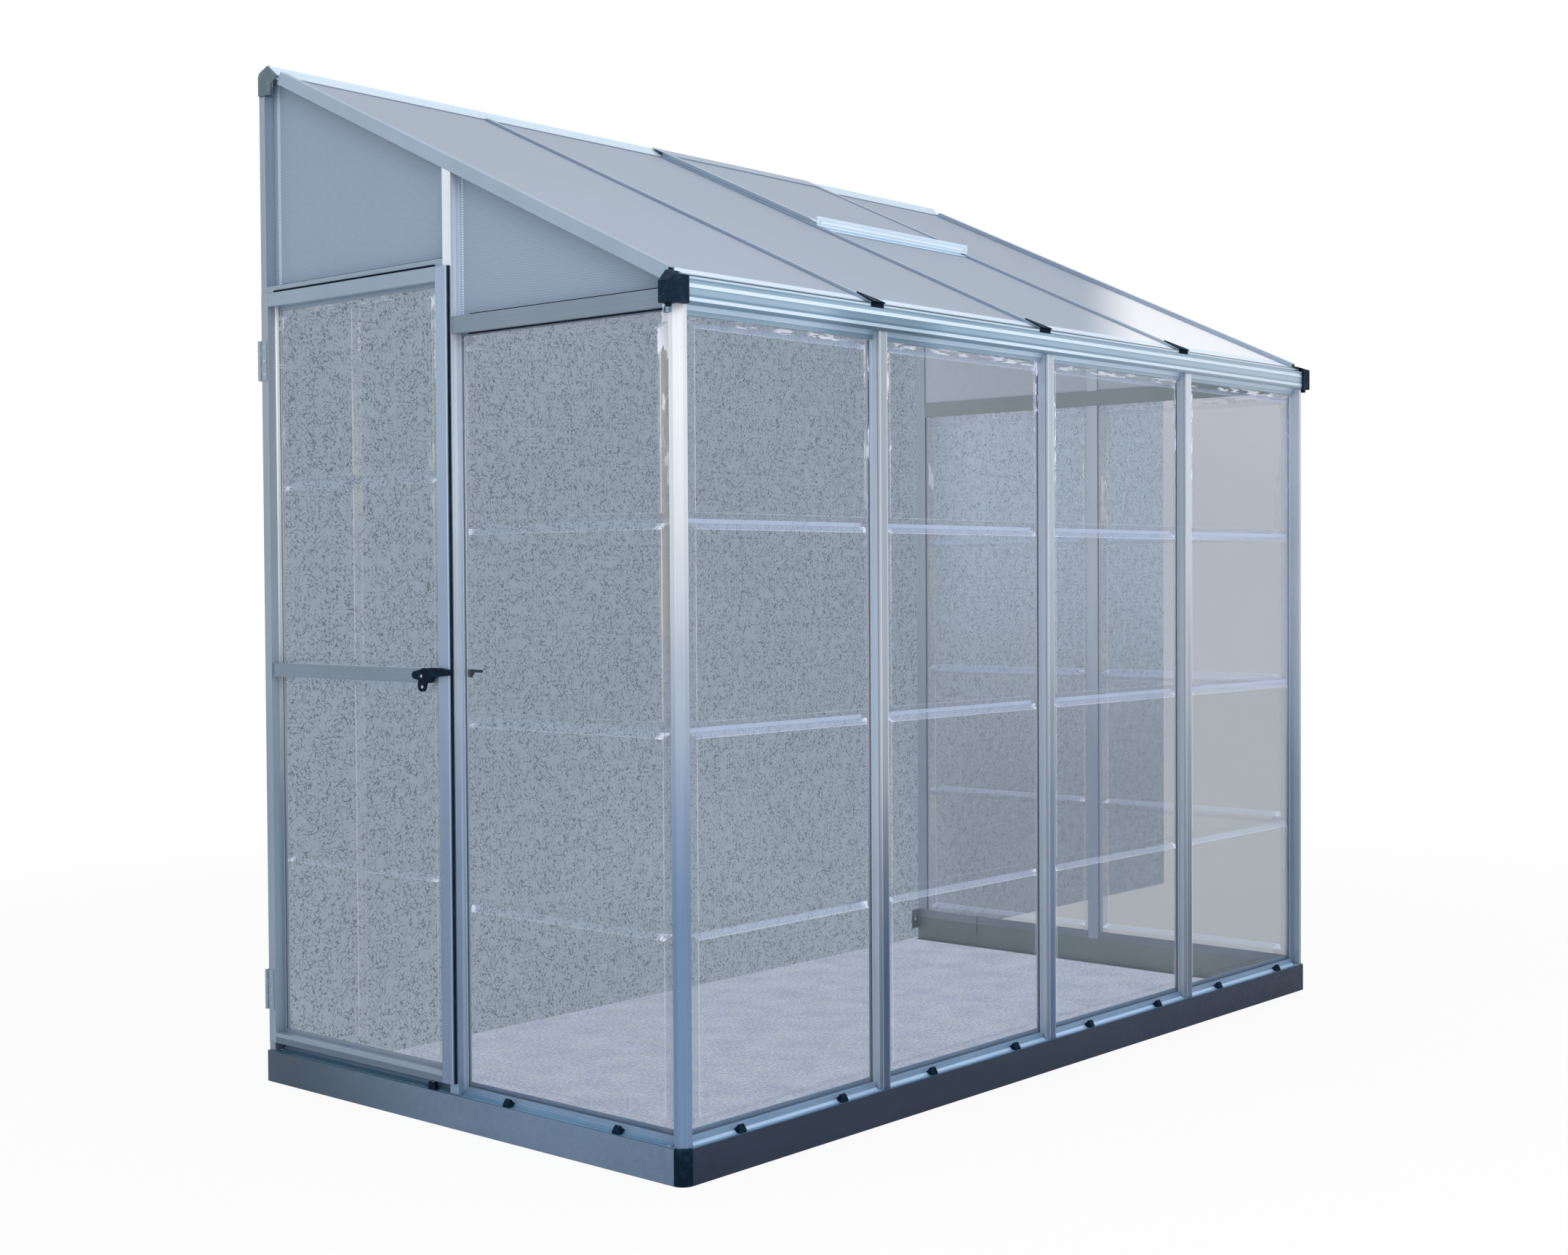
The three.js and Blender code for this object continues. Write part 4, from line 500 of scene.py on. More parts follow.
def bead(first, last, around=12):
    """A rubber strip that fills the box between two corners. It runs along the longest side. Across it,
    at angle a, the point lies at sign(cos a) * |cos a|^0.5 and sign(sin a) * |sin a|^0.5 of the half
    widths, which gives a square with round edges, and it narrows by a twelfth at both ends."""
    middle, half = (first + last) / 2.0, abs(last - first) / 2.0
    run = int(np.argmax(half))
    a = np.linspace(0.0, math.tau, around, endpoint=False) + math.pi / around
    square = [np.sign(w) * np.sqrt(abs(w)) for w in (np.cos(a), np.sin(a))]
    along = np.array([-1.0, -0.999, 0.0, 0.999, 1.0])
    rings = len(along)
    narrow = np.where(abs(along) == 1.0, 11.0 / 12.0, 1.0)
    points = np.empty((rings, around, 3))
    points[:, :, run] = middle[run] + half[run] * along[:, None]
    for axis, wave in zip([k for k in range(3) if k != run], square):
        points[:, :, axis] = middle[axis] + half[axis] * narrow[:, None] * wave[None, :]
    faces = between(rings, around)
    faces += [list(range(around))[::-1], list(range((rings - 1) * around, rings * around))]
    if run == 1:
        faces = [face[::-1] for face in faces]
    return points.reshape(-1, 3), faces


def repeated(points, faces, places):
    """The same form at each place, a 4 by 4 matrix, joined in one list of points and faces."""
    joined, linked = [], []
    for i, matrix in enumerate(places):
        move = np.array(matrix)
        joined.append(points @ move[:3, :3].T + move[:3, 3])
        linked += [[n + i * len(points) for n in face] for face in faces]
    return np.vstack(joined), linked


def piece(name, points, faces, material, body, slot):
    """Puts points and faces in a smooth mesh at the origin, with its finish, riding on a body."""
    mesh = bpy.data.meshes.new(name)
    mesh.from_pydata(points.tolist(), [], faces)
    mesh.materials.append(material)
    mesh.validate()
    mesh.shade_smooth()
    mesh.set_sharp_from_angle(angle=SOFT_ANGLE)
    made = bpy.data.objects.new(name, mesh)
    bpy.context.scene.collection.objects.link(made)
    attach(made, body)
    return made


def facing(point, outward, upward):
    """A matrix at the point whose third axis is outward and whose second leans upward."""
    w = Vector(outward).normalized()
    u = Vector(upward).cross(w).normalized()
    v = w.cross(u)
    matrix = Matrix((u, v, w)).transposed().to_4x4()
    matrix.translation = Vector(point)
    return matrix


# Settings


class GreenhouseSizes(bpy.types.PropertyGroup):
    clip_width: FloatProperty(name="Clip width", description="Width of a glazing clip at its foot",
                              default=21.0 * MM, unit="LENGTH")
    clip_top: FloatProperty(name="Clip top", description="Width of a glazing clip at its top",
                            default=14.0 * MM, unit="LENGTH")
    screw_radius: FloatProperty(name="Screw head", description="Radius of a screw head",
                                default=4.0 * MM, unit="LENGTH")
    screw_height: FloatProperty(name="Screw rise", description="Height of a screw head",
                                default=1.8 * MM, unit="LENGTH")


class GreenhouseColours(bpy.types.PropertyGroup):
    bar: FloatVectorProperty(name="Aluminium", description="Tone of the plain aluminium bars",
                             subtype="COLOR", default=(0.19, 0.245, 0.31))
    vent: FloatVectorProperty(name="Vent flats", description="Flats of the lower bars of the vent",
                              subtype="COLOR", default=(0.50, 0.61, 0.72))
    moulding: FloatVectorProperty(name="Eave flats", description="Flats of the eave and vent bars",
                                  subtype="COLOR", default=(0.205, 0.33, 0.45))
    # The rolls' tone is a painted highlight
    moulding_bright: FloatVectorProperty(name="Eave rolls", description="Rolls of those bars",
                                         subtype="COLOR", default=(0.70, 0.83, 0.95))
    zinc: FloatVectorProperty(name="Galvanised side", description="Side rails of the base",
                              subtype="COLOR", default=(0.115, 0.175, 0.26))
    zinc_bright: FloatVectorProperty(name="Spangle", description="Pale cells of the side rails",
                                     subtype="COLOR", default=(0.18, 0.265, 0.38))
    # Painted shade: the front rail's galvanised steel, a darker copy of the side rails' tones
    zinc_in_shade: FloatVectorProperty(name="Galvanised front", description="Front rail of the base",
                               subtype="COLOR", default=(0.014, 0.024, 0.047))
    spangle_in_shade: FloatVectorProperty(name="Front spangle", description="Pale cells of the front rail",
                                      subtype="COLOR", default=(0.034, 0.050, 0.088))
    ledge: FloatVectorProperty(name="Ledge", description="Nose of the ledges of the base",
                               subtype="COLOR", default=(0.15, 0.31, 0.48))
    # The knee's tone is a painted highlight on the front ledge
    knee: FloatVectorProperty(name="Ledge knee", description="Inner part of the front ledge",
                              subtype="COLOR", default=(0.40, 0.56, 0.78))
    black: FloatVectorProperty(name="Black plastic", description="Clips, base corners and latch",
                               subtype="COLOR", default=(0.003, 0.0105, 0.022))
    grey: FloatVectorProperty(name="Grey plastic", description="End caps of the ridge",
                              subtype="COLOR", default=(0.13, 0.18, 0.21))
    gable: FloatVectorProperty(name="Gable sheet", description="Twin-wall sheet of the gables",
                               subtype="COLOR", default=(0.26, 0.335, 0.44))
    roof: FloatVectorProperty(name="Roof sheet", description="Twin-wall sheet of the roof",
                              subtype="COLOR", default=(0.29, 0.35, 0.44))
    clear: FloatVectorProperty(name="Clear sheet", description="Haze of the clear panels",
                               subtype="COLOR", default=(0.38, 0.42, 0.52))


# Steps


def dress(names, material):
    """Gives each named node the finish, in every slot it has."""
    for name in names:
        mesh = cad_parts[name].data
        for i in range(len(mesh.materials)):
            mesh.materials[i] = material


def sides(*names):
    return [f"{name}_{side}" for name in names for side in ("left", "right")]


def numbered(name, count):
    return [f"{name}_{i + 1}" for i in range(count)]


# A painted reflection on the uprights: the tones of a bar low down, where it mirrors the dim ground,
# and high up, where it mirrors the bright sky, and the heights between which the one turns into the other
UPRIGHT_REFLECTIONS = {
    "corner_post_left": ((0.15, 0.235, 0.38), (0.73, 0.77, 0.82), 0.45, 1.45),
    "corner_post_right": ((0.24, 0.31, 0.40), (0.50, 0.56, 0.65), 0.3, 1.42),
    "middle_post_left": ((0.21, 0.30, 0.44), (0.74, 0.80, 0.88), 0.35, 1.62),
    "middle_post_right": ((0.24, 0.31, 0.40), (0.50, 0.56, 0.65), 0.4, 1.42),
    "door_hinge_stile": ((0.25, 0.33, 0.42), (0.31, 0.37, 0.44), 0.4, 1.45),
    "door_latch_stile": ((0.17, 0.25, 0.36), (0.33, 0.43, 0.57), 0.1, 1.7),
    "wall_post_left": ((0.24, 0.31, 0.38), (0.30, 0.37, 0.45), 0.3, 1.42),
    "wall_post_right": ((0.22, 0.28, 0.35), (0.34, 0.40, 0.48), 0.3, 1.42),
    "mullion_1": ((0.050, 0.088, 0.17), (0.36, 0.42, 0.48), 0.3, 1.0),
    "mullion_2": ((0.070, 0.118, 0.22), (0.45, 0.53, 0.62), 0.1, 1.5),
    "mullion_3": ((0.110, 0.145, 0.21), (0.62, 0.67, 0.75), 0.15, 1.45),
}

# Their strips: a painted highlight on the pale rim of the door's hinge side, painted shade in the groove
# and painted light on the rear of the middle post, a painted highlight and painted shade on the edges of
# the latch stile, and painted highlights and painted light on the mullions
# Painted light: the panels' tone given to the mullions' sides, and, darker, a painted shade line
THROUGH = (0.50, 0.59, 0.70)
RIM_HIGHLIGHT = (0.88, 0.90, 0.91)
# Painted highlights on the edges of the mullions' fronts
EDGE_HIGHLIGHT = (0.62, 0.66, 0.71)


def mullion_painted_strips(i):
    """Painted highlights on the edges of a mullion's front, painted light in the panels' tone on the part
    of its sides, and a painted shade line beside it.
    """
    middle = BAY * (i + 1)
    return ((0, middle - 16.0, middle - 9.0, EDGE_HIGHLIGHT, 0.25, 0.8),
            (0, middle + 9.5, middle + 13.0, EDGE_HIGHLIGHT, 0.2, 0.6),
            (1, 10.5, 13.5, scaled(THROUGH, 0.55), 0.7, 0.9),
            (1, 14.5, 30.0, scaled(THROUGH, 1.0 - 0.1 * i), 0.75, 0.9))


UPRIGHT_PAINTED_STRIPS = {
    # Painted highlight on the rim of the hinge stile
    "door_hinge_stile": ((0, 18.5, 30.0, RIM_HIGHLIGHT, 0.0, 1.0),),
    # Painted shade in the middle post's groove, and painted light on its rear
    "middle_post_left": ((0, 9.0, 11.0, (0.16, 0.22, 0.30), 0.3, 0.2),
                         (0, 20.0, 30.0, (0.45, 0.54, 0.65), 0.6, 0.7)),
    # Painted highlight along one edge of the latch stile, painted shade along the other
    "door_latch_stile": ((1, 647.0, 650.5, (0.55, 0.68, 0.84), 0.35, 0.95),
                         (1, 686.0, 691.0, (0.12, 0.17, 0.24), 0.4, 0.4)),
} | {f"mullion_{i + 1}": mullion_painted_strips(i) for i in range(3)}

# The door's lowest rail, with the painted light of its lit upper half, and the bars, rails and sheets of
# the right side, which are seen through the clear panels, as copies of their finishes toned with painted
# light and shade
LOW_RAIL = ((0.115, 0.16, 0.225), (0.18, 0.25, 0.34), 0.0, 0.5,
            ((2, 104.0, 126.0, (0.33, 0.40, 0.50), 0.7, 0.7),))
FAR_BAR = ((0.21, 0.26, 0.28), (0.25, 0.30, 0.32), 0.0, 1.9)
FAR_BASE = ((0.13, 0.17, 0.19), (0.21, 0.26, 0.28), (0.20, 0.26, 0.30), (0.26, 0.33, 0.38))
FAR_SHEET = ((0.54, 0.60, 0.68), (0.62, 0.68, 0.76))
CAP_BLACK = ((0.0085, 0.0185, 0.034), (0.022, 0.045, 0.085))

# Bands of painted highlights and painted shade on the moulded fronts: lowest and highest millimetre, and
# the share of the bright tone, below zero for painted shade
GUTTER_BANDS = ((1616.5, 1620.5, -0.5), (1622.0, 1628.5, 0.9), (1630.0, 1632.5, -0.2),
                (1634.0, 1644.0, 0.22), (1646.5, 1653.5, 1.1), (1655.0, 1657.0, 0.4),
                (1658.0, 1660.5, 0.05), (1662.0, 1665.5, 0.55))
GUTTER_DEEP = ((1600.0, 1607.0, 0.2), (1608.5, 1619.0, 0.85), (1667.0, 1670.0, 0.9),
               (1671.5, 1673.5, -0.9))
VENT_BANDS = ((1972.0, 1979.5, 0.9), (1980.5, 1984.5, 1.0), (1985.5, 1989.5, 0.3),
              (1990.0, 1993.5, 1.0), (1994.0, 2001.0, 0.55), (2001.5, 2010.0, 0.75))
RIDGE_BANDS = ((2215.0, 2240.0, 0.8), (2241.0, 2260.0, 1.0))


class GREENHOUSE_OT_bars(bpy.types.Operator):
    """Gives the aluminium bars their die-drawn finish"""

    bl_idname = "greenhouse.bars"
    bl_label = "Aluminium bars"

    def execute(self, context):
        c = context.scene.greenhouse_colours
        for name, tones in UPRIGHT_REFLECTIONS.items():
            dress([name], aluminium(f"aluminium_{name}", UPRIGHT, *tones, UPRIGHT_PAINTED_STRIPS.get(name, ())))
        # Painted reflection: the crosswise bars lighten a little with height
        crosswise = aluminium("aluminium_crosswise", CROSSWISE, tuple(c.bar), scaled(c.bar, 1.12), 0.0, 1.9)
        dress(["side_header_left", "door_middle_rail"], crosswise)
        # Painted light: a lighter copy of the bar's tone for the door's header and top rail
        lintel = aluminium("aluminium_lintel", CROSSWISE, scaled(c.bar, 1.35), scaled(c.bar, 1.5))
        dress(["door_header", "door_top_rail"], lintel)
        dress(["door_bottom_rail"], aluminium("aluminium_low", CROSSWISE, *LOW_RAIL))
        # Painted light and shade: the right header's copy of the bar's tone
        dress(["side_header_right"], aluminium("aluminium_far", CROSSWISE, *FAR_BAR))
        # Painted light: a lighter copy of the bar's tone for the rafters, rakes and vent bars
        sloping = aluminium("aluminium_sloping", SLOPING, scaled(c.bar, 1.5), scaled(c.bar, 1.7))
        dress(numbered("rafter", 3) + sides("rake") + ["vent_stay", "vent_frame"], sloping)
        rolls = (c.moulding, c.moulding_bright)
        dress(["gutter"], banded("aluminium_gutter", LENGTHWISE, *rolls, GUTTER_BANDS, GUTTER_DEEP, 0.3))
        # Painted highlights on the vent bars: a lighter copy of their flats' tone
        vent = banded("aluminium_vent", LENGTHWISE, c.vent, scaled(c.vent, 1.5), VENT_BANDS)
        dress(["vent_bottom_bar", "vent_sill"], vent)
        dress(["ridge"], banded("aluminium_ridge", LENGTHWISE, *rolls, RIDGE_BANDS))
        return {"FINISHED"}


class GREENHOUSE_OT_base(bpy.types.Operator):
    """Gives the base rails their galvanised finish"""

    bl_idname = "greenhouse.base"
    bl_label = "Galvanised base"

    def execute(self, context):
        c = context.scene.greenhouse_colours
        # Painted shade: the left rail's ledge and knee are darker copies of the ledge's tone
        dress(["base_left"], galvanised("galvanised_side", c.zinc, c.zinc_bright, scaled(c.ledge, 0.95),
                                        scaled(c.ledge, 0.7), 0, 0.45))
        # Painted light and shade: the right rail's copy of the galvanised tones
        dress(["base_right"], galvanised("galvanised_far", *FAR_BASE, 0, 0.8))
        # Painted shade on the front rail's faces, and painted light on its ledge
        dress(["base_front"], galvanised("galvanised_front", c.zinc_in_shade, c.spangle_in_shade, c.ledge, c.knee,
                                         1, 1.0))
        return {"FINISHED"}


class GREENHOUSE_OT_mouldings(bpy.types.Operator):
    """Gives the caps, clips and latch their moulded plastic"""

    bl_idname = "greenhouse.mouldings"
    bl_label = "Mouldings"

    def execute(self, context):
        c = context.scene.greenhouse_colours
        black = moulded("moulded_black", c.black, scaled(c.black, 2.8))
        dress(sides("base_corner") + numbered("rafter_clip", 3), black)
        dress(["door_bumper", "latch_handle", "latch_keeper"], black)
        dress(sides("gutter_cap"), moulded("moulded_cap", *CAP_BLACK))
        dress(sides("ridge_cap"), moulded("moulded_grey", c.grey, scaled(c.grey, 1.3)))
        return {"FINISHED"}


# Painted sheens of a clear panel, milky light on the sides, tops and feet of its trays, on its border and
# in its grooves
FRONT_SHEENS = (0.14, 0.17, 0.05, 0.10, 0.34)
LEFT_SHEENS = (0.14, 0.02, 0.02, 0.10, 0.02)
RIGHT_SHEENS = (0.14, 0.08, 0.05, 0.10, 0.08)
GLINT = (0.84, 0.88, 0.97)

# Clear panels: finish, nodes, the axis that the trays rise along and which way, half the pitch of the
# mullions in millimetres if it repeats, the painted sheens, the share of painted glints along its top, its
# least haze, which on the right panels is raised by a painted reflection, and the millimetres of its creamy
# painted reflection
CLEAR_PANELS = (
    ("clear_front", numbered("front_panel", 4), 1, -1, BAY / 2.0, FRONT_SHEENS, 0.9, 0.02, None),
    ("clear_left", ["side_panel_left"], 0, -1, 0.0, LEFT_SHEENS, 0.3, 0.02, (40.0, 70.0)),
    ("clear_door", ["door_panel"], 0, -1, 0.0, LEFT_SHEENS, 0.5, 0.02, (680.0, 706.0)),
    ("clear_right_front", ["side_panel_right_front"], 0, 1, 0.0, RIGHT_SHEENS, 0.3, 0.12, None),
    ("clear_right_rear", ["side_panel_right_rear"], 0, 1, 0.0, RIGHT_SHEENS, 0.3, 0.12, None),
)

# How opaque the twin-wall sheets are, where a painted highlight makes the webs shine at the ends of the
# gables and the roof, and the metres over which the roof's painted reflection comes in
TWIN_OPACITY = 0.94
GABLE_ENDS = ((630.0, 636.0, 0.3, 0.6), (671.0, 676.0, 0.3, 0.6), (1248.0, 1257.0, 0.3, 0.6))
ROOF_ENDS = ((46.0, 74.0, 0.85, 0.0),)
ROOF_FADE = (1.08, 1.42)


class GREENHOUSE_OT_sheets(bpy.types.Operator):
    """Gives the twin-wall sheets and the clear panels their finishes"""

    bl_idname = "greenhouse.sheets"
    bl_label = "Sheets"

    def execute(self, context):
        c = context.scene.greenhouse_colours
        gable = twin_wall("twin_wall_gable", 2, c.gable, scaled(c.gable, 1.3), ends=GABLE_ENDS)
        roof = twin_wall("twin_wall_roof", 0, c.roof, scaled(c.roof, 1.3), ROOF_FADE, ROOF_ENDS)
        # Painted light: a lighter copy of the gable sheet for the right gables, seen from inside
        far = twin_wall("twin_wall_far", 2, *FAR_SHEET)
        dress([f"gable_sheet_left_{end}" for end in ("front", "rear")], gable)
        dress([f"gable_sheet_right_{end}" for end in ("front", "rear")], far)
        dress(numbered("roof_sheet", 4) + ["vent_sheet"], roof)
        for name, nodes, axis, out, half, sheens, glint_share, dull, creamy in CLEAR_PANELS:
            points = np.array([v.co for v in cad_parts[nodes[0]].data.vertices])
            low, high = points.min(axis=0), points.max(axis=0)
            crest = low[axis] if out < 0 else high[axis]
            plate = high[axis] - TRAY_DEPTH if out < 0 else low[axis] + TRAY_DEPTH
            start = CORNER[0] if half else low[1]
            reach = half * MM if half else (high[1] - low[1]) / 2.0
            if creamy is not None:
                creamy = [mark(1 - axis, v) for v in creamy]
            dress(nodes, clear_sheet(name, axis, crest, plate, start, reach, c.clear, sheens, glint_share, dull,
                                     creamy))
        return {"FINISHED"}


# Where each clip stands along its wall, in millimetres
FRONT_CLIPS = (168.0, 470.0, 767.0, 1071.0, 1372.0, 1673.0, 1968.0, 2275.0)
SIDE_CLIPS = (183.0, 494.0)
REAR_CLIPS = (790.0, 1100.0)

# Section of a clip: depth behind the outer face, height, and share of the way from foot to top width.
# Its sides narrow at both ends, and its middle is sunk.
CLIP_SECTION = np.array([
    [4.6, 69.3, 0.0], [4.4, 71.0, 0.1], [5.4, 74.5, 0.32], [7.2, 79.5, 0.68], [8.6, 83.2, 0.95],
    [9.6, 84.3, 1.0], [12.6, 84.4, 1.0], [14.2, 83.4, 0.95], [17.5, 78.6, 0.75], [21.4, 76.2, 0.6],
    [21.6, 74.7, 0.55], [14.0, 69.4, 0.2],
])
CLIP_STATIONS = np.array([-1.0, -0.9, -0.3, -0.24, 0.24, 0.3, 0.9, 1.0])
CLIP_WIDTHS = np.array([0.93, 1.0, 1.0, 0.86, 0.86, 1.0, 1.0, 0.93])


class GREENHOUSE_OT_clips(bpy.types.Operator):
    """Makes the small glazing clips that wedge the panels on the ledge of the base"""

    bl_idname = "greenhouse.clips"
    bl_label = "Glazing clips"

    def execute(self, context):
        s = context.scene.greenhouse_sizes
        section = CLIP_SECTION.copy()
        section[:, :2] *= MM
        section[:, 2] = (s.clip_width + section[:, 2] * (s.clip_top - s.clip_width)) / 2.0
        points, faces = sweep(section, CLIP_STATIONS, CLIP_WIDTHS)
        black = bpy.data.materials["moulded_black"]
        front = [self.stand(x, 0.0, 0.0) for x in FRONT_CLIPS]
        left = [self.stand(0.0, y, -math.pi / 2) for y in SIDE_CLIPS]
        right = [self.stand(LENGTH, y, math.pi / 2) for y in SIDE_CLIPS + REAR_CLIPS]
        for name, places in (("front", front), ("left", left), ("right", right)):
            piece(f"glazing_clips_{name}", *repeated(points, faces, places), black, "frame",
                  "black_plastic")
        return {"FINISHED"}

    def stand(self, x, y, turn):
        return Matrix.Translation(Vector(place(x, y, 0.0))) @ Matrix.Rotation(turn, 4, "Z")


# Rubber seals of the left side: first and last corner in millimetres
SEALS = (
    ((1.0, 642.8, 92.0), (5.6, 647.4, 1749.0)), ((1.6, 690.0, 1752.2), (5.6, 1240.0, 1755.4)),
    ((21.0, 43.0, 1609.4), (26.4, 608.0, 1611.4)), ((27.4, 43.0, 1650.3), (30.2, 608.0, 1652.0)),
    ((27.4, 686.0, 1770.3), (30.2, 1246.0, 1772.0)),
)


class GREENHOUSE_OT_seals(bpy.types.Operator):
    """Makes the black rubber seals round the door and under the sheets of the left side"""

    bl_idname = "greenhouse.seals"
    bl_label = "Rubber seals"

    def execute(self, context):
        black = bpy.data.materials["moulded_black"]
        points, faces = [], []
        for first, last in SEALS:
            strip, strip_faces = bead(place(*first), place(*last))
            faces += [[n + len(points) for n in face] for face in strip_faces]
            points += strip.tolist()
        piece("seals_left", np.array(points), faces, black, "frame", "black_plastic")
        return {"FINISHED"}


FRONT = (0.0, -1.0, 0.0)
BACK = (0.0, 1.0, 0.0)
LEFT = (-1.0, 0.0, 0.0)
UP = (0.0, 0.0, 1.0)

# Screw heads: point in millimetres, the way it faces, and its size share
FRAME_SCREWS = (
    ((35.0, 9.0, 69.1), UP, 0.9), ((9.0, 45.0, 69.1), UP, 0.9),
    ((2385.0, 9.0, 69.1), UP, 0.9), ((2411.0, 45.0, 69.1), UP, 0.9),
    ((8.0, 790.0, 69.1), UP, 0.7), ((6.5, 721.0, 84.3), UP, 0.85),
)
VENT_SCREWS = (((1213.0, 685.0, 1993.0), FRONT, 0.8), ((1812.0, 685.0, 1993.0), FRONT, 0.8))
DOOR_SCREWS = tuple(((-2.7, 1270.0, bottom + rise), LEFT, 0.7)
                    for bottom in (163.0, 1559.0) for rise in (14.0, 44.0, 74.0))
LATCH_SCREWS = (((-8.6, 728.0, 919.7), LEFT, 0.78), ((-8.6, 724.9, 897.7), LEFT, 0.82))
# Painted reflection on the screw heads: a dimmer tone low down and a brighter one high up
ZINC_PLATE = ((0.40, 0.45, 0.50), (0.62, 0.66, 0.70))
RECESS_SHARE = 0.17


class GREENHOUSE_OT_screws(bpy.types.Operator):
    """Makes the screw heads of the frame, the vent and the door"""

    bl_idname = "greenhouse.screws"
    bl_label = "Screws"

    def execute(self, context):
        s = context.scene.greenhouse_sizes
        points, faces = head(s.screw_radius, s.screw_height, RECESS_SHARE * s.screw_radius)
        zinc = aluminium("zinc_plate", UPRIGHT, *ZINC_PLATE)
        for body, screws in (("frame", FRAME_SCREWS), ("vent", VENT_SCREWS), ("door", DOOR_SCREWS),
                             ("latch", LATCH_SCREWS)):
            places = []
            for point, outward, share in screws:
                lean = BACK if outward == UP else UP
                places.append(facing(place(*point), outward, lean) @ Matrix.Scale(share, 4))
            piece(f"screws_{body}", *repeated(points, faces, places), zinc, body, "galvanised")
        return {"FINISHED"}


# The floor inside the frame, up to the foot of the wall, and where the ground outside the right side
# starts, in metres
INSIDE_LEFT = -1.19
INSIDE_FRONT = -0.62
INSIDE_REAR = 0.69
OUTSIDE = (1.18, 1.2)
FLOOR_REACH = 15

# The house wall: its plane, left end, right end, foot and top
WALL_PLANE = 0.66
WALL_LEFT = -1.3
WALL_RIGHT = 2.65
WALL_FOOT = 0.001
WALL_TOP = 2.5

# The Transparent Depth over which a ray has passed both faces of a sheet, and what a second sheet adds
ONE_SHEET = 1.5
SECOND_SHEET = 2.0

LAMP_PLACE = (-4.0, -6.0, 6.0)
LAMP_SIZE = 4.0
LAMP_POWER = 250.0

CAMERA_PLACE = (-3.92183, -3.27058, 1.11132)
CAMERA_YAW = 0.85111
CAMERA_PITCH = -0.022748
CAMERA_ROLL = -0.0059118
CAMERA_LENS = 47.70


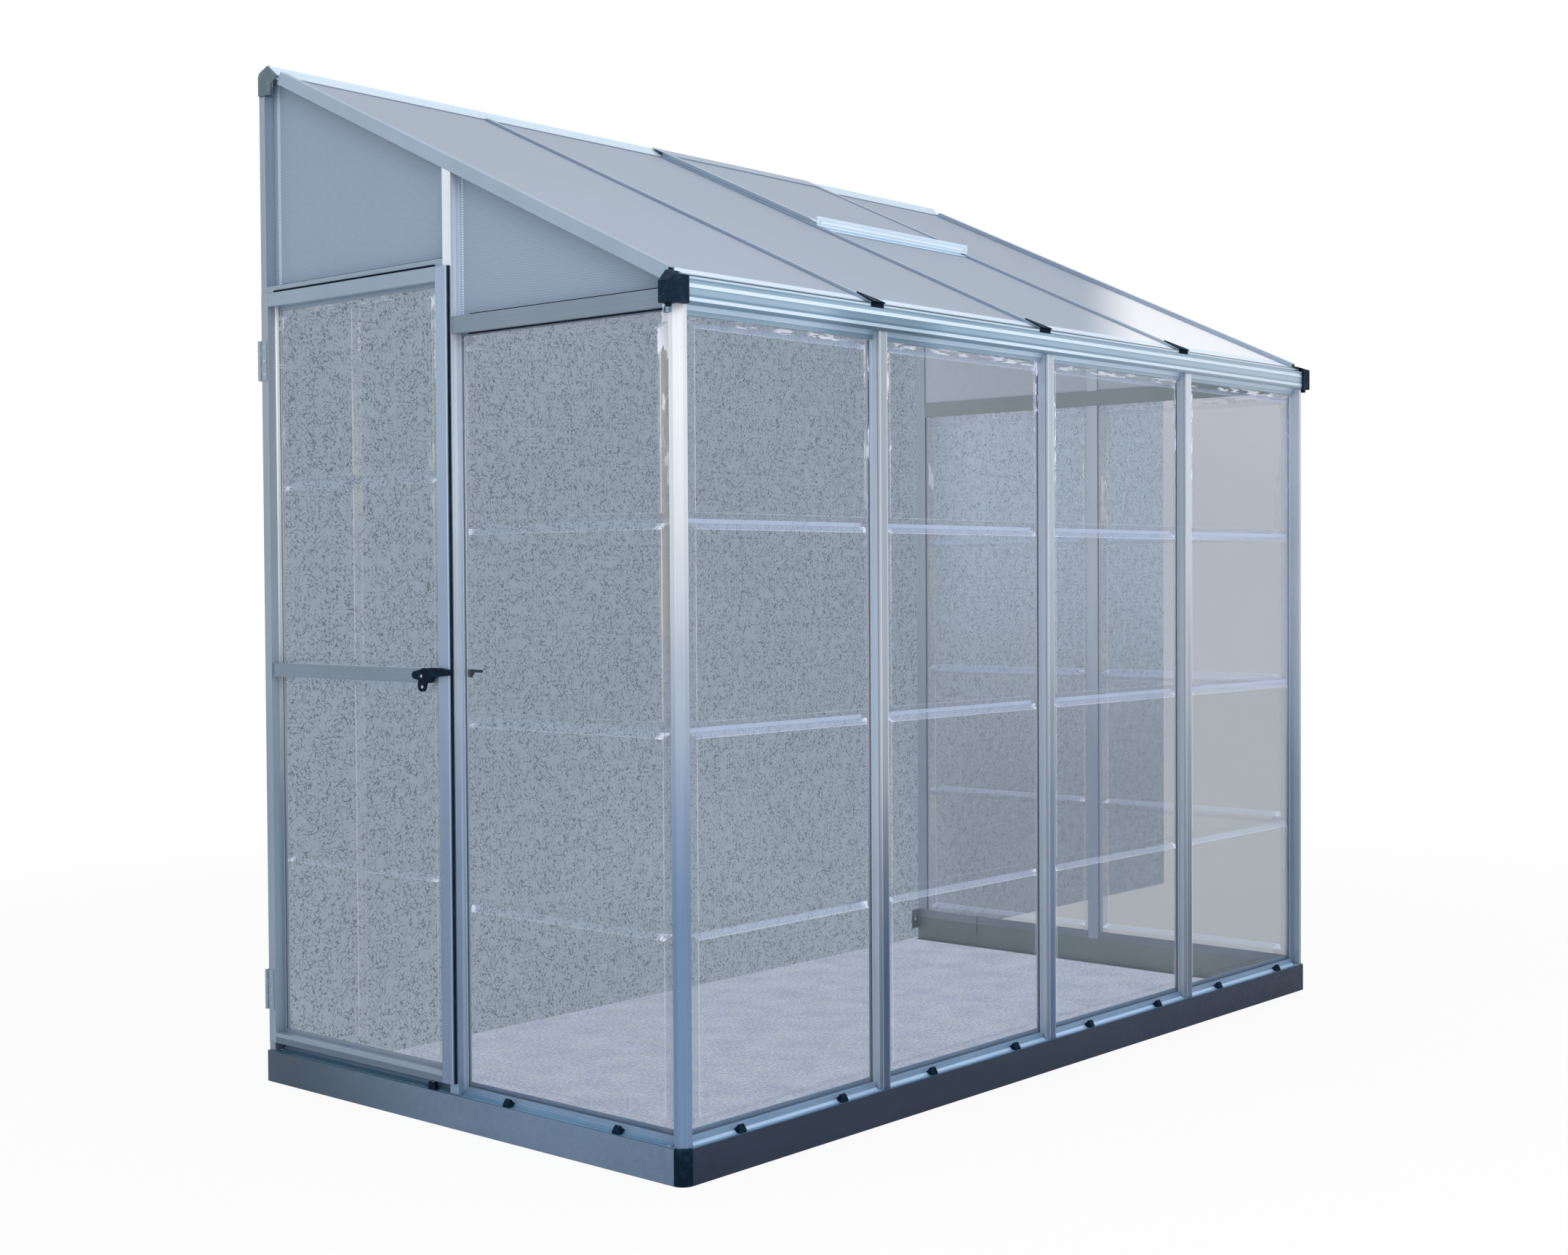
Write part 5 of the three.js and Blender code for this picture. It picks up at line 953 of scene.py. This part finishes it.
class GREENHOUSE_OT_stage(bpy.types.Operator):
    """Makes the pale floor, the house wall seen through the panels, the lamp and the camera"""

    bl_idname = "greenhouse.stage"
    bl_label = "Stage"

    def execute(self, context):
        self.world(context)
        self.floor()
        self.wall()
        self.lamp()
        self.camera(context)
        context.scene.view_settings.view_transform = "Standard"
        return {"FINISHED"}

    def world(self, context):
        """White where the camera, metal or glass sees it, and softer where it lights the object. Through
        a sheet, toward the house, the camera sees haze."""
        f = Finish(bpy.data.worlds.new("studio"))
        path = f.node("ShaderNodeLightPath", {}, {})
        seen = [Field(f, path.outputs[key]) for key in ("Is Camera Ray", "Is Glossy Ray",
                                                        "Is Transmission Ray")]
        strength = 0.8 + 0.2 * f.clamp(seen[0] + seen[1] + seen[2])
        _, toward, upward = f.axes(f.coordinates().outputs["Generated"])
        through = seen[0] * (Field(f, path.outputs["Transparent Depth"]) > ONE_SHEET) * (toward > 0.0)
        hazy = f.blend(f.ramp(upward, 0.02, 0.14), (0.46, 0.49, 0.54), (0.62, 0.64, 0.68))
        colour = f.blend(0.92 * through, (1.0, 1.0, 1.0), hazy)
        back = f.node("ShaderNodeBackground", {}, {"Color": colour, "Strength": strength})
        f.node("ShaderNodeOutputWorld", {}, {"Surface": back.outputs[0]})
        context.scene.world = f.holder

    def floor(self):
        """A pale floor. Through one sheet the ground inside shows as mottled stone, and through two the
        ground outside the right side as grey."""
        f = Finish.material("pale_floor")
        specks = f.noise((45.0, 45.0, 45.0), detail=4.0)
        matt = f.surface(Base_Color=f.blend(specks, (0.86, 0.86, 0.87), (0.93, 0.93, 0.93)),
                         Roughness=0.9)
        glow = f.node("ShaderNodeEmission", {}, {"Color": (1.0, 1.0, 1.0), "Strength": 1.0})
        path = f.node("ShaderNodeLightPath", {}, {})
        camera = Field(f, path.outputs["Is Camera Ray"])
        across, back, _ = f.axes(f.coordinates().outputs["Object"])
        shine = 0.88 + 0.12 * f.ramp(across * across + back * back, 3.0, 30.0)
        open_floor = f.node("ShaderNodeMixShader", {}, {0: shine * camera, 1: matt,
                                                        2: glow.outputs[0]})
        patches = f.noise((9.0, 9.0, 9.0), detail=3.0)
        gravel = f.noise((120.0, 120.0, 120.0), detail=3.0, roughness=0.65)
        mottled = f.blend(f.clamp(0.8 * f.ramp(gravel, 0.36, 0.64) + 1.2 * (patches - 0.45)),
                          (0.295, 0.345, 0.44), (0.47, 0.52, 0.635))
        chips = f.ramp(f.noise((260.0, 260.0, 260.0), detail=2.0), 0.64, 0.7)
        sandy = f.ramp(f.noise((22.0, 22.0, 22.0), detail=3.0), 0.52, 0.66)
        mottled = f.blend(0.3 * sandy, mottled, (0.46, 0.45, 0.46))
        mottled = f.blend(0.6 * chips, mottled, (0.19, 0.215, 0.26))
        outside = f.ramp(across, *OUTSIDE)
        mottled = f.blend(outside, mottled, f.blend(gravel, (0.40, 0.43, 0.44), (0.50, 0.53, 0.54)))
        shade = f.node("ShaderNodeEmission", {}, {"Color": mottled})
        here = (across > INSIDE_LEFT) * (back > INSIDE_FRONT) * f.clamp(outside + (back < INSIDE_REAR))
        sheets = Field(f, path.outputs["Transparent Depth"]) > ONE_SHEET + SECOND_SHEET * outside
        through = camera * sheets * here
        mixed = f.node("ShaderNodeMixShader", {}, {0: through, 1: open_floor.outputs[0],
                                                   2: shade.outputs[0]})
        far = FLOOR_REACH
        self.plane("floor", [(-far, -far, 0), (far, -far, 0), (far, far, 0), (-far, far, 0)],
                   f.finish(mixed.outputs[0]))

    def wall(self):
        """A rendered wall that only rays through the sheets of the greenhouse see, from the front."""
        f = Finish.material("house_wall")
        grain = f.noise((420.0, 420.0, 420.0), detail=4.0, roughness=0.65)
        clouds = f.noise((1.2, 1.2, 1.2), detail=3.0)
        trail = f.math("ABSOLUTE", f.noise((88.0, 88.0, 78.0), detail=1.5) - 0.5)
        worms = (1.0 - f.ramp(trail, 0.014, 0.042)) * f.ramp(f.noise((38.0, 38.0, 34.0)), 0.38, 0.48)
        tone = f.clamp(0.7 * grain + 0.5 * clouds - 0.1)
        pale = f.blend(tone, (0.215, 0.27, 0.33), (0.355, 0.415, 0.49))
        base = f.blend(0.8 * worms, pale, (0.09, 0.115, 0.13))
        across, _, height = f.axes(f.coordinates().outputs["Object"])
        # Painted light on the wall's right end: lighter high up and darker low down
        lift = f.ramp(across, 1.1, 1.5) * (0.65 * f.ramp(height, 0.3, 1.4) - 0.2)
        glow = f.node("ShaderNodeEmission", {}, {"Color": f.times(base, 1.0 + lift), "Strength": 1.0})
        clear = f.node("ShaderNodeBsdfTransparent", {}, {})
        path = f.node("ShaderNodeLightPath", {}, {})
        behind = Field(f, path.outputs["Transparent Depth"]) > ONE_SHEET
        side = Field(f, f.node("ShaderNodeNewGeometry", {}, {}).outputs["Backfacing"])
        shown = behind * Field(f, path.outputs["Is Camera Ray"]) * (1.0 - side)
        mixed = f.node("ShaderNodeMixShader", {}, {0: shown, 1: clear.outputs[0], 2: glow.outputs[0]})
        corners = [(x, WALL_PLANE, z) for x, z in ((WALL_LEFT, WALL_FOOT), (WALL_RIGHT, WALL_FOOT),
                                                   (WALL_RIGHT, WALL_TOP), (WALL_LEFT, WALL_TOP))]
        made = self.plane("house_wall", corners, f.finish(mixed.outputs[0]))
        made.visible_shadow = False
        made.visible_diffuse = False
        made.visible_glossy = False

    def plane(self, name, corners, material):
        mesh = bpy.data.meshes.new(name)
        mesh.from_pydata(corners, [], [(0, 1, 2, 3)])
        mesh.materials.append(material)
        made = bpy.data.objects.new(name, mesh)
        bpy.context.scene.collection.objects.link(made)
        return made

    def lamp(self):
        light = bpy.data.lights.new("key", "AREA")
        light.size = LAMP_SIZE
        light.energy = LAMP_POWER
        made = bpy.data.objects.new("key", light)
        made.location = LAMP_PLACE
        aim = Vector((0.0, 0.0, 1.0)) - Vector(LAMP_PLACE)
        made.rotation_euler = aim.to_track_quat("-Z", "Y").to_euler()
        bpy.context.scene.collection.objects.link(made)

    def camera(self, context):
        data = bpy.data.cameras.new("camera")
        data.lens = CAMERA_LENS
        data.sensor_width = 36.0
        made = bpy.data.objects.new("camera", data)
        made.matrix_world = (Matrix.Translation(CAMERA_PLACE)
                             @ Matrix.Rotation(-CAMERA_YAW, 4, "Z")
                             @ Matrix.Rotation(math.pi / 2 + CAMERA_PITCH, 4, "X")
                             @ Matrix.Rotation(CAMERA_ROLL, 4, "Z"))
        context.scene.collection.objects.link(made)
        context.scene.camera = made


STEPS = (
    GREENHOUSE_OT_bars,
    GREENHOUSE_OT_base,
    GREENHOUSE_OT_mouldings,
    GREENHOUSE_OT_sheets,
    GREENHOUSE_OT_clips,
    GREENHOUSE_OT_seals,
    GREENHOUSE_OT_screws,
    GREENHOUSE_OT_stage,
)


class GREENHOUSE_PT_steps(bpy.types.Panel):
    """Lists the steps in the order in which they run"""

    bl_label = "Greenhouse"
    bl_idname = "GREENHOUSE_PT_steps"
    bl_space_type = "VIEW_3D"
    bl_region_type = "UI"
    bl_category = "Greenhouse"

    def draw(self, context):
        for group in (context.scene.greenhouse_sizes, context.scene.greenhouse_colours):
            for key in group.__annotations__:
                self.layout.prop(group, key)
        for step in STEPS:
            self.layout.operator(step.bl_idname)


CLASSES = (GreenhouseSizes, GreenhouseColours) + STEPS + (GREENHOUSE_PT_steps,)


def register():
    for cls in CLASSES:
        bpy.utils.register_class(cls)
    bpy.types.Scene.greenhouse_sizes = PointerProperty(type=GreenhouseSizes)
    bpy.types.Scene.greenhouse_colours = PointerProperty(type=GreenhouseColours)


def unregister():
    del bpy.types.Scene.greenhouse_colours
    del bpy.types.Scene.greenhouse_sizes
    for cls in reversed(CLASSES):
        bpy.utils.unregister_class(cls)


def main():
    register()
    bpy.ops.greenhouse.bars()
    bpy.ops.greenhouse.base()
    bpy.ops.greenhouse.mouldings()
    bpy.ops.greenhouse.sheets()
    bpy.ops.greenhouse.clips()
    bpy.ops.greenhouse.seals()
    bpy.ops.greenhouse.screws()
    bpy.ops.greenhouse.stage()


if __name__ == "__main__":
    main()
